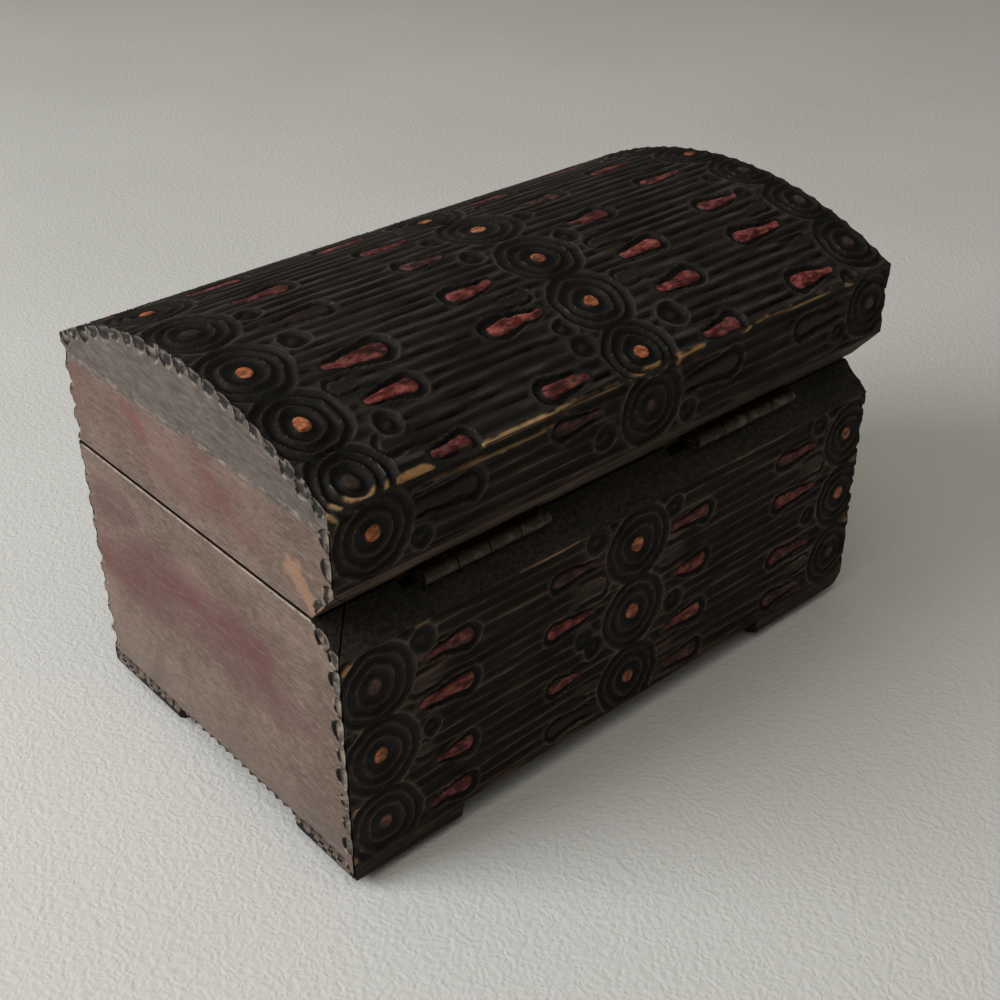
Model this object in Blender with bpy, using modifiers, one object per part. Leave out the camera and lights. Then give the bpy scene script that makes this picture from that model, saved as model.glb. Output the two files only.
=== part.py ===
"""A small wooden box with a domed lid, two butt hinges and bracket feet.

The body is four mitred boards round a bottom board. The lid is four mitred
rails under a thick top board that is rounded to a dome. A V-shaped groove runs
along the back where lid and body meet, and the hinge barrels lie in it. The long
faces and the dome carry the main lines of their carving: three columns of
rosettes, each a ring groove, and long straight grooves between the columns.

Axes: X along the box, Y from front to back, Z up. The origin is on the surface
that the box stands on, under the middle of its bounding box. Lengths are metres.
"""
import math

import bmesh
import bpy

# Overall sizes
BODY_LENGTH = 0.150
DEPTH = 0.091
BODY_HEIGHT = 0.0612
LID_OVERHANG = 0.002
WALL = 0.012
BOTTOM_THICKNESS = 0.005
BOTTOM_RECESS = 0.0012

# Lid
RIM_GAP = 0.0008
LID_RAIL_HEIGHT = 0.0200
LID_SHOULDER = 0.0044
DOME_RISE = 0.0118

# Groove along the back, measured from the rim
GROOVE_DEPTH = 0.0070
GROOVE_RISE_IN_LID = 0.0082
GROOVE_FALL_IN_BODY = 0.0056

# Feet, cut in the boards' lower edges
FOOT_HEIGHT = 0.0058
RIGHT_FOOT_WIDTH = 0.0266
LEFT_FOOT_WIDTH = 0.0310
BACK_FOOT_WIDTH = 0.0185
FRONT_FOOT_WIDTH = 0.0265
FOOT_STEP_RUN = 0.0012

# Worn outer corners of the feet: how far in and how far up each goes
RIGHT_WEAR_RUN = 0.0080
RIGHT_WEAR_RISE = 0.0038
LEFT_WEAR_RUN = 0.0120
LEFT_WEAR_RISE = 0.0070
BACK_WEAR_RUN = 0.0070
BACK_WEAR_RISE = 0.0030
FRONT_WEAR_RUN = 0.0090
FRONT_WEAR_RISE = 0.0050

# Carving: ring grooves in three columns, long grooves between them
CARVING_DEPTH = 0.0008
ROSETTE_RADIUS = 0.0055
RIGHT_COLUMN_SETBACK = 0.0082
LEFT_COLUMN_SETBACK = 0.0074
MIDDLE_COLUMN_SHIFT = 0.0010
LONG_GROOVE_CLEARANCE = 0.0100
FIELD_BOTTOM = 0.0045
DOME_ROSETTE_MARGIN = 0.0050
PANEL_ROSETTES = 3
PANEL_GROOVES = 6
DOME_ROSETTES = 6
DOME_GROOVES = 7

# Hinges
HINGE_LENGTH = 0.0310
HINGE_INSET = 0.0040
RIGHT_HINGE_SETBACK = 0.0220
LEFT_HINGE_SETBACK = 0.0238
BARREL_RADIUS = 0.0015
PIN_RADIUS = 0.00065
LEAF_WIDTH = 0.0062
LEAF_THICKNESS = 0.00065
KNUCKLES = 4
MORTISE_SLACK = 0.0006
NOTCH_HEIGHT = 0.0026
RIGHT_NOTCH_LENGTH = 0.0026
LEFT_NOTCH_LENGTH = 0.0052

# Hinge screws
SCREW_HEAD_RADIUS = 0.0011
SCREW_SHANK_RADIUS = 0.0005
SCREW_LENGTH = 0.0060
SCREW_TIP_LENGTH = 0.0015
SCREW_HEAD_DEPTH = 0.0005
SCREW_SETBACK = 0.0041
SCREW_END_DISTANCE = 0.0055
SCREWS_PER_LEAF = 2

# Clearances
JOINT_GAP = 0.0003
OVERRUN = 0.004
MERGE_DISTANCE = 0.00001

# Facets
DOME_STEPS = 28
WEAR_STEPS = 5
ROUND_STEPS = 20
RING_STEPS = 10
VEE_STEPS = 4

# Finishes: colour, roughness, metallic
END_WOOD = ((0.16, 0.125, 0.105), 0.62, 0.0)
STAINED_WOOD = ((0.022, 0.018, 0.016), 0.48, 0.0)
TOP_WOOD = ((0.030, 0.026, 0.023), 0.50, 0.0)
BARE_WOOD = ((0.30, 0.20, 0.12), 0.75, 0.0)
AGED_BRASS = ((0.34, 0.25, 0.14), 0.45, 1.0)

# Places worked out from the sizes above
BODY_MIDDLE = LID_OVERHANG / 2
BODY_RIGHT = BODY_MIDDLE + BODY_LENGTH / 2
BODY_LEFT = BODY_MIDDLE - BODY_LENGTH / 2
LID_LENGTH = BODY_LENGTH + LID_OVERHANG
LID_RIGHT = LID_LENGTH / 2
LID_LEFT = -LID_LENGTH / 2
BACK = DEPTH / 2
FRONT = -DEPTH / 2
LID_BOTTOM = BODY_HEIGHT + RIM_GAP
SEAM = LID_BOTTOM + LID_RAIL_HEIGHT
SPRING = SEAM + LID_SHOULDER
DOME_RADIUS = (BACK ** 2 + DOME_RISE ** 2) / (2 * DOME_RISE)
DOME_CENTRE = SPRING + DOME_RISE - DOME_RADIUS
DOME_HALF_ANGLE = math.asin(BACK / DOME_RADIUS)
HINGE_Y = BACK - HINGE_INSET
HINGE_Z = BODY_HEIGHT + RIM_GAP / 2
MITRE_SHIFT = JOINT_GAP / math.sqrt(2)
HINGE_PLACES = {
    "right": (BODY_RIGHT - RIGHT_HINGE_SETBACK - HINGE_LENGTH / 2, RIGHT_NOTCH_LENGTH),
    "left": (BODY_LEFT + LEFT_HINGE_SETBACK + HINGE_LENGTH / 2, LEFT_NOTCH_LENGTH),
}


def clear_scene():
    for item in list(bpy.data.objects):
        bpy.data.objects.remove(item, do_unlink=True)


def new_collection(name):
    collection = bpy.data.collections.new(name)
    bpy.context.scene.collection.children.link(collection)
    return collection


def new_object(name, mesh, collection):
    item = bpy.data.objects.new(name, mesh)
    collection.objects.link(item)
    return item


def hide_cutter(cutter):
    cutter.hide_render = True
    cutter.display_type = "WIRE"
    return cutter


def finish(piece, look):
    """Give a piece its own material."""
    colour, roughness, metallic = look
    material = bpy.data.materials.new(piece.name)
    material.use_nodes = True
    shader = material.node_tree.nodes["Principled BSDF"]
    shader.inputs["Base Color"].default_value = (*colour, 1.0)
    shader.inputs["Roughness"].default_value = roughness
    shader.inputs["Metallic"].default_value = metallic
    piece.data.materials.clear()
    piece.data.materials.append(material)


def boolean(piece, cutter, operation):
    step = piece.modifiers.new(operation.lower(), "BOOLEAN")
    step.operation = operation
    step.solver = "EXACT"
    step.object = cutter


def outline_solid(name, points, thickness, turn, place, collection):
    """Extrude a flat outline by its thickness, half to each side, as a closed mesh."""
    curve = bpy.data.curves.new(name, "CURVE")
    curve.dimensions = "2D"
    curve.fill_mode = "BOTH"
    curve.extrude = thickness / 2
    spline = curve.splines.new("POLY")
    spline.points.add(len(points) - 1)
    for target, (across, up) in zip(spline.points, points):
        target.co = (across, up, 0, 1)
    spline.use_cyclic_u = True
    sketch = bpy.data.objects.new(name + "_sketch", curve)
    collection.objects.link(sketch)
    sketch.rotation_euler = turn
    sketch.location = place
    bpy.context.view_layer.update()
    evaluated = sketch.evaluated_get(bpy.context.evaluated_depsgraph_get())
    mesh = bpy.data.meshes.new_from_object(evaluated)
    mesh.name = name
    solid = bmesh.new()
    solid.from_mesh(mesh)
    bmesh.ops.remove_doubles(solid, verts=solid.verts, dist=MERGE_DISTANCE)
    bmesh.ops.recalc_face_normals(solid, faces=solid.faces)
    solid.to_mesh(mesh)
    solid.free()
    piece = new_object(name, mesh, collection)
    piece.matrix_world = sketch.matrix_world.copy()
    bpy.data.objects.remove(sketch, do_unlink=True)
    return piece


def box_solid(name, low, high, collection):
    """A box between two corners."""
    mesh = bpy.data.meshes.new(name)
    solid = bmesh.new()
    bmesh.ops.create_cube(solid, size=1)
    size = [top - bottom for bottom, top in zip(low, high)]
    bmesh.ops.scale(solid, vec=size, verts=solid.verts)
    solid.to_mesh(mesh)
    solid.free()
    piece = new_object(name, mesh, collection)
    piece.location = [(bottom + top) / 2 for bottom, top in zip(low, high)]
    return piece


def rod_solid(name, radius, length, centre, collection, steps=ROUND_STEPS):
    """A round rod along X, or a square one on its edge with four steps."""
    mesh = bpy.data.meshes.new(name)
    solid = bmesh.new()
    bmesh.ops.create_cone(solid, cap_ends=True, segments=steps,
                          radius1=radius, radius2=radius, depth=length)
    solid.to_mesh(mesh)
    solid.free()
    mesh.shade_smooth()
    mesh.set_sharp_from_angle(angle=math.radians(40))
    piece = new_object(name, mesh, collection)
    piece.rotation_euler = (0, math.radians(90), 0)
    piece.location = centre
    return piece


def worn_corner(corner, run, rise, inwards):
    """Points round a worn foot corner, from the underside up to the outer face."""
    points = []
    for step in range(WEAR_STEPS + 1):
        angle = math.radians(90) * step / WEAR_STEPS
        points.append((corner + inwards * run * (1 - math.sin(angle)), rise * (1 - math.cos(angle))))
    return points


def footed_edge(low, high, low_foot, high_foot, low_wear, high_wear):
    """The lower edge of a board with a foot at each end, from its low end to its high end."""
    points = list(reversed(worn_corner(low, *low_wear, inwards=1)))
    points.append((low + low_foot, 0))
    points.append((low + low_foot + FOOT_STEP_RUN, FOOT_HEIGHT))
    points.append((high - high_foot - FOOT_STEP_RUN, FOOT_HEIGHT))
    points.append((high - high_foot, 0))
    points.extend(worn_corner(high, *high_wear, inwards=-1))
    return points


def body_from_behind():
    """Outline of the body seen along Y, extruded past both long faces."""
    points = footed_edge(BODY_LEFT, BODY_RIGHT, LEFT_FOOT_WIDTH, RIGHT_FOOT_WIDTH,
                         (LEFT_WEAR_RUN, LEFT_WEAR_RISE), (RIGHT_WEAR_RUN, RIGHT_WEAR_RISE))
    points.append((BODY_RIGHT, BODY_HEIGHT + OVERRUN))
    points.append((BODY_LEFT, BODY_HEIGHT + OVERRUN))
    return points


def body_from_the_end():
    """Outline of the body seen along X, with the lower half of the groove at the back."""
    points = footed_edge(FRONT, BACK, FRONT_FOOT_WIDTH, BACK_FOOT_WIDTH,
                         (FRONT_WEAR_RUN, FRONT_WEAR_RISE), (BACK_WEAR_RUN, BACK_WEAR_RISE))
    points.append((BACK, BODY_HEIGHT - GROOVE_FALL_IN_BODY))
    points.append((BACK - GROOVE_DEPTH, BODY_HEIGHT))
    points.append((FRONT, BODY_HEIGHT))
    return points


def lid_rails_from_the_end():
    """Outline of the lid's frame seen along X, with the upper half of the groove."""
    seat = SEAM - JOINT_GAP / 2
    return [
        (FRONT, LID_BOTTOM),
        (BACK - GROOVE_DEPTH, LID_BOTTOM),
        (BACK, LID_BOTTOM + GROOVE_RISE_IN_LID),
        (BACK, seat),
        (FRONT, seat),
    ]


def dome_point(angle):
    """The point of the dome's arc, seen along X, that lies at an angle from its crown."""
    return DOME_RADIUS * math.sin(angle), DOME_CENTRE + DOME_RADIUS * math.cos(angle)


def dome_from_the_end():
    """Outline of the top board seen along X: flat below, an arc of a circle above."""
    seat = SEAM + JOINT_GAP / 2
    points = [(FRONT, seat), (BACK, seat)]
    for step in range(DOME_STEPS + 1):
        angle = DOME_HALF_ANGLE * (1 - 2 * step / DOME_STEPS)
        points.append(dome_point(angle))
    return points


ALONG_Y = (math.radians(90), 0, 0)
ALONG_X = (math.radians(90), 0, math.radians(90))
ALONG_Z = (0, 0, 0)


def mitred_board(name, side, left, right, low, high, collection):
    """A board of one side of a frame, mitred at both ends, a little too thick outside."""
    outer = OVERRUN
    if side in ("back", "front"):
        sign = 1 if side == "back" else -1
        face = sign * DEPTH / 2
        points = [
            (left - outer + MITRE_SHIFT, face + sign * outer),
            (right + outer - MITRE_SHIFT, face + sign * outer),
            (right - WALL - MITRE_SHIFT, face - sign * WALL),
            (left + WALL + MITRE_SHIFT, face - sign * WALL),
        ]
    else:
        sign = 1 if side == "right" else -1
        face = right if side == "right" else left
        points = [
            (face + sign * outer, FRONT - outer + MITRE_SHIFT),
            (face + sign * outer, BACK + outer - MITRE_SHIFT),
            (face - sign * WALL, BACK - WALL - MITRE_SHIFT),
            (face - sign * WALL, FRONT + WALL + MITRE_SHIFT),
        ]
    middle = (0, 0, (low + high) / 2)
    return outline_solid(name, points, high - low, ALONG_Z, middle, collection)


def panel_rows(face, count):
    """Rows spaced evenly up a long panel: how far back, how high and how far each face is tilted."""
    field = BODY_HEIGHT - GROOVE_FALL_IN_BODY - FIELD_BOTTOM
    return [(face, FIELD_BOTTOM + field * (row + 0.5) / count, math.radians(90)) for row in range(count)]


def dome_rows(count, reach):
    """Rows spaced evenly over the dome, out to an angle on each side of its crown."""
    angles = [reach * (2 * row / (count - 1) - 1) for row in range(count)]
    return [(*dome_point(angle), -angle) for angle in angles]


def ring_cutter(name, place, tilt, collection):
    """A ring of square section on its edge, which leaves a V-shaped ring groove."""
    bpy.ops.mesh.primitive_torus_add(major_segments=RING_STEPS, minor_segments=VEE_STEPS,
                                     major_radius=ROSETTE_RADIUS, minor_radius=CARVING_DEPTH,
                                     location=place, rotation=(tilt, 0, 0))
    ring = hide_cutter(bpy.context.object)
    ring.name = name
    for owner in list(ring.users_collection):
        owner.objects.unlink(ring)
    collection.objects.link(ring)


def carve(board, left, right, rosette_rows, groove_rows):
    """Cut the rosettes' rings at three columns of an outer face, and long grooves between the columns."""
    carving = new_collection(board.name + "_carving")
    columns = (left + LEFT_COLUMN_SETBACK, -MIDDLE_COLUMN_SHIFT, right - RIGHT_COLUMN_SETBACK)
    for y, z, tilt in rosette_rows:
        for x in columns:
            ring_cutter(carving.name + "_ring", (x, y, z), tilt, carving)
    for y, z, tilt in groove_rows:
        for start, end in zip(columns, columns[1:]):
            length = end - start - 2 * LONG_GROOVE_CLEARANCE
            groove = hide_cutter(rod_solid(carving.name + "_groove", CARVING_DEPTH, length,
                                           ((start + end) / 2, y, z), carving, steps=VEE_STEPS))
            groove.rotation_mode = "ZYX"
            groove.rotation_euler.x = tilt
    step = board.modifiers.new("carving", "BOOLEAN")
    step.operation = "DIFFERENCE"
    step.solver = "EXACT"
    step.operand_type = "COLLECTION"
    step.collection = carving


def build_body(parts, cutters):
    """Four mitred boards with feet, and the bottom board between them."""
    long_way = hide_cutter(outline_solid("body_long_profile", body_from_behind(), DEPTH + 2 * OVERRUN,
                                         ALONG_Y, (0, 0, 0), cutters))
    short_way = hide_cutter(outline_solid("body_end_profile", body_from_the_end(), BODY_LENGTH + 2 * OVERRUN,
                                          ALONG_X, (BODY_MIDDLE, 0, 0), cutters))
    boards = {}
    for side in ("front", "back", "left", "right"):
        board = mitred_board("body_" + side + "_panel", side, BODY_LEFT, BODY_RIGHT,
                             -OVERRUN, BODY_HEIGHT + OVERRUN, parts)
        boolean(board, long_way, "INTERSECT")
        boolean(board, short_way, "INTERSECT")
        if side in ("front", "back"):
            face = BACK if side == "back" else FRONT
            carve(board, BODY_LEFT, BODY_RIGHT,
                  panel_rows(face, PANEL_ROSETTES), panel_rows(face, PANEL_GROOVES))
        finish(board, STAINED_WOOD if side in ("front", "back") else END_WOOD)
        boards[side] = board
    low = FOOT_HEIGHT + BOTTOM_RECESS
    inset = WALL + JOINT_GAP
    bottom = box_solid("bottom_board", (BODY_LEFT + inset, FRONT + inset, low),
                       (BODY_RIGHT - inset, BACK - inset, low + BOTTOM_THICKNESS), parts)
    finish(bottom, BARE_WOOD)
    return boards


def build_lid(parts, cutters):
    """Four mitred rails and the domed top board on them."""
    profile = hide_cutter(outline_solid("lid_end_profile", lid_rails_from_the_end(), LID_LENGTH,
                                        ALONG_X, (0, 0, 0), cutters))
    rails = {}
    for side in ("front", "back", "left", "right"):
        rail = mitred_board("lid_" + side + "_rail", side, LID_LEFT, LID_RIGHT,
                            LID_BOTTOM - OVERRUN, SEAM + OVERRUN, parts)
        boolean(rail, profile, "INTERSECT")
        finish(rail, STAINED_WOOD if side in ("front", "back") else END_WOOD)
        rails[side] = rail
    board = outline_solid("lid_top_board", dome_from_the_end(), LID_LENGTH, ALONG_X, (0, 0, 0), parts)
    board.data.shade_smooth()
    board.data.set_sharp_from_angle(angle=math.radians(25))
    carve(board, LID_LEFT, LID_RIGHT,
          dome_rows(DOME_ROSETTES, DOME_HALF_ANGLE - DOME_ROSETTE_MARGIN / DOME_RADIUS),
          dome_rows(DOME_GROOVES, DOME_HALF_ANGLE * (DOME_GROOVES - 1) / (DOME_GROOVES + 1)))
    finish(board, TOP_WOOD)
    rails["top"] = board
    return rails


def screw_profile(grow):
    """Half outline of a countersunk screw from its head down, grown all round for its hole."""
    mouth = [(SCREW_HEAD_RADIUS + grow, grow)] if grow else []
    return [
        (0, grow),
        *mouth,
        (SCREW_HEAD_RADIUS + grow, 0),
        (SCREW_SHANK_RADIUS + grow, -SCREW_HEAD_DEPTH),
        (SCREW_SHANK_RADIUS + grow, SCREW_TIP_LENGTH - SCREW_LENGTH),
        (0, -SCREW_LENGTH - grow),
    ]


def screw(name, grow, head, down, collection):
    """A countersunk screw, or its hole when grown; down is 1 where the point goes down, -1 up."""
    mesh = bpy.data.meshes.new(name)
    outline = bmesh.new()
    corners = [outline.verts.new((across, 0, up)) for across, up in screw_profile(grow)]
    for start, end in zip(corners, corners[1:]):
        outline.edges.new((start, end))
    outline.to_mesh(mesh)
    outline.free()
    piece = new_object(name, mesh, collection)
    turned = piece.modifiers.new("turned", "SCREW")
    turned.steps = ROUND_STEPS
    turned.render_steps = ROUND_STEPS
    turned.use_merge_vertices = True
    turned.merge_threshold = MERGE_DISTANCE
    piece.location = head
    if down < 0:
        piece.rotation_euler = (math.radians(180), 0, 0)
    return piece


def screw_places(centre_x):
    """Where the screws of one leaf sit along the hinge."""
    reach = HINGE_LENGTH - 2 * SCREW_END_DISTANCE
    start = centre_x - reach / 2
    return [start + reach * index / (SCREWS_PER_LEAF - 1) for index in range(SCREWS_PER_LEAF)]


def leaf(name, owner, centre_x, parts, cutters):
    """A hinge leaf: plate and barrel in one, cut away at the other leaf's knuckles."""
    down = -1 if owner == "body" else 1
    near = HINGE_Z + down * JOINT_GAP / 2
    far = near + down * LEAF_THICKNESS
    half = HINGE_LENGTH / 2
    plate = box_solid(name, (centre_x - half, HINGE_Y - LEAF_WIDTH, min(near, far)),
                      (centre_x + half, HINGE_Y, max(near, far)), parts)
    barrel = hide_cutter(rod_solid(name + "_barrel", BARREL_RADIUS, HINGE_LENGTH,
                                   (centre_x, HINGE_Y, HINGE_Z), cutters))
    boolean(plate, barrel, "UNION")
    bore = hide_cutter(rod_solid(name + "_bore", PIN_RADIUS + JOINT_GAP, HINGE_LENGTH + 2 * OVERRUN,
                                 (centre_x, HINGE_Y, HINGE_Z), cutters))
    boolean(plate, bore, "DIFFERENCE")
    pitch = HINGE_LENGTH / KNUCKLES
    first = 1 if owner == "body" else 0
    clear = BARREL_RADIUS + JOINT_GAP
    for index in range(first, KNUCKLES, 2):
        low = centre_x - half + index * pitch
        low_end = low - (OVERRUN if index == 0 else JOINT_GAP / 2)
        high_end = low + pitch + (OVERRUN if index == KNUCKLES - 1 else JOINT_GAP / 2)
        gap = hide_cutter(box_solid(name + "_gap_" + str(index), (low_end, HINGE_Y - clear, HINGE_Z - clear),
                                    (high_end, HINGE_Y + clear, HINGE_Z + clear), cutters))
        boolean(plate, gap, "DIFFERENCE")
    finish(plate, AGED_BRASS)
    return plate


def mortise(board, name, owner, centre_x, notch_length, cutters):
    """Sink a leaf in a board's rim, with the wide notch left beside the barrel."""
    down = -1 if owner == "body" else 1
    rim = BODY_HEIGHT if owner == "body" else LID_BOTTOM
    floor = HINGE_Z + down * (JOINT_GAP / 2 + LEAF_THICKNESS + JOINT_GAP)
    half = HINGE_LENGTH / 2 + MORTISE_SLACK
    outside = rim - down * OVERRUN
    pocket = hide_cutter(box_solid(name + "_pocket",
                                   (centre_x - half, HINGE_Y - LEAF_WIDTH - JOINT_GAP, min(floor, outside)),
                                   (centre_x + half, BACK + OVERRUN, max(floor, outside)), cutters))
    boolean(board, pocket, "DIFFERENCE")
    start = centre_x + half
    notch_floor = rim + down * NOTCH_HEIGHT / 2
    notch = hide_cutter(box_solid(name + "_notch",
                                  (start - MORTISE_SLACK, BACK - GROOVE_DEPTH - NOTCH_HEIGHT,
                                   min(notch_floor, outside)),
                                  (start + notch_length, BACK + OVERRUN, max(notch_floor, outside)), cutters))
    boolean(board, notch, "DIFFERENCE")


def build_hinge(name, centre_x, notch_length, body_board, lid_board, parts, cutters):
    """One butt hinge: two leaves, a pin and the screws. Returns what turns with the lid."""
    turning = []
    for owner, board, down in (("body", body_board, 1), ("lid", lid_board, -1)):
        plate = leaf(name + "_" + owner + "_leaf", owner, centre_x, parts, cutters)
        mortise(board, name + "_" + owner, owner, centre_x, notch_length, cutters)
        own = [plate]
        for number, place in enumerate(screw_places(centre_x), start=1):
            label = name + "_" + owner + "_screw_" + str(number)
            head = (place, HINGE_Y - SCREW_SETBACK, HINGE_Z - down * JOINT_GAP / 2)
            hole = hide_cutter(screw(label + "_hole", JOINT_GAP, head, down, cutters))
            boolean(plate, hole, "DIFFERENCE")
            boolean(board, hole, "DIFFERENCE")
            fastener = screw(label, 0, head, down, parts)
            finish(fastener, AGED_BRASS)
            own.append(fastener)
        if owner == "lid":
            turning.extend(own)
    pin = rod_solid(name + "_pin", PIN_RADIUS, HINGE_LENGTH, (centre_x, HINGE_Y, HINGE_Z), parts)
    finish(pin, AGED_BRASS)
    return turning


def hang_lid(pieces, parts):
    """Parent what turns with the lid to an empty on the hinge axis."""
    axis = bpy.data.objects.new("lid_axis", None)
    parts.objects.link(axis)
    axis.location = (0, HINGE_Y, HINGE_Z)
    bpy.context.view_layer.update()
    for piece in pieces:
        piece.parent = axis
        piece.matrix_parent_inverse = axis.matrix_world.inverted()


def main():
    clear_scene()
    parts = new_collection("carved_wooden_box")
    cutters = new_collection("cutters")
    boards = build_body(parts, cutters)
    rails = build_lid(parts, cutters)
    turning = list(rails.values())
    for side, (centre_x, notch_length) in HINGE_PLACES.items():
        turning.extend(build_hinge(side + "_hinge", centre_x, notch_length,
                                   boards["back"], rails["back"], parts, cutters))
    hang_lid(turning, parts)
    bpy.context.view_layer.update()


main()
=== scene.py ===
import math

import bmesh
import bpy
import numpy as np
from mathutils import Matrix, Vector


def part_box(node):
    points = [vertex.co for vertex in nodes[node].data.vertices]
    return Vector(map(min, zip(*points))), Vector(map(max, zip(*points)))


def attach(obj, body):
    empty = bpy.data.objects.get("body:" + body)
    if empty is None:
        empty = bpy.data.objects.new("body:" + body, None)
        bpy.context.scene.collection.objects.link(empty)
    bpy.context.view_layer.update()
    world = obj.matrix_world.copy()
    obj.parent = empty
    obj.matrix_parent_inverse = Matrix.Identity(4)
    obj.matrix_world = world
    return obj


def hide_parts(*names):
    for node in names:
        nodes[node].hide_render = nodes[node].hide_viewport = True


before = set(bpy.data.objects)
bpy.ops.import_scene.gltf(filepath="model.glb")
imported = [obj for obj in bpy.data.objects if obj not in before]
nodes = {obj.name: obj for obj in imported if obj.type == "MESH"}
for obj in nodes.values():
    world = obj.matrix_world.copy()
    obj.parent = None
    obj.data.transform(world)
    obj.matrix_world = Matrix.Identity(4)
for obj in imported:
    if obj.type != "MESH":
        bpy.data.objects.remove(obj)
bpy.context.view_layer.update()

MM = 0.001
FLOAT, VECTOR, GEOMETRY = "NodeSocketFloat", "NodeSocketVector", "NodeSocketGeometry"
OBJECT, MATERIAL, INTEGER = "NodeSocketObject", "NodeSocketMaterial", "NodeSocketInt"

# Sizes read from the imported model, in millimetres
body_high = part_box("body_right_panel")[1] / MM
end_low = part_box("body_left_panel")[0] / MM
lid_low, lid_high = [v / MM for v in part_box("lid_top_board")]
rail_low, rail_high = [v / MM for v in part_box("lid_back_rail")]
BACK, FRONT = lid_high.y, lid_low.y
BODY_RIGHT, BODY_LEFT = body_high.x, end_low.x
LID_RIGHT, LID_LEFT = lid_high.x, lid_low.x
BODY_TOP = body_high.z
LID_BOTTOM = rail_low.z
SEAM = (rail_high.z + lid_low.z) / 2
CROWN = lid_high.z
CREASE = 86.4
BODY_LIP, LID_LIP = 55.6, 70.2
DOME_RADIUS = (BACK ** 2 + (CROWN - CREASE) ** 2) / (2 * (CROWN - CREASE))
DOME_CENTRE = CROWN - DOME_RADIUS
HALF_ARC = DOME_RADIUS * math.asin(BACK / DOME_RADIUS)
FOOT_TOP = 6.0


# Camera, at the photograph's viewing point

def make_camera():
    forward = Vector((-0.55866, -0.63191, -0.53721)).normalized()
    right = Vector((-0.74824, 0.66343, -0.00226)).normalized()
    up = right.cross(forward)
    right = forward.cross(up)
    data = bpy.data.cameras.new("camera")
    data.lens = 53.79
    camera = bpy.data.objects.new("camera", data)
    bpy.context.scene.collection.objects.link(camera)
    turn = Matrix((right, up, -forward)).transposed().to_4x4()
    camera.matrix_world = Matrix.Translation((0.18911, 0.21586, 0.21856)) @ turn
    data.clip_start = 0.01
    bpy.context.scene.camera = camera


# Helpers for node trees

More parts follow.
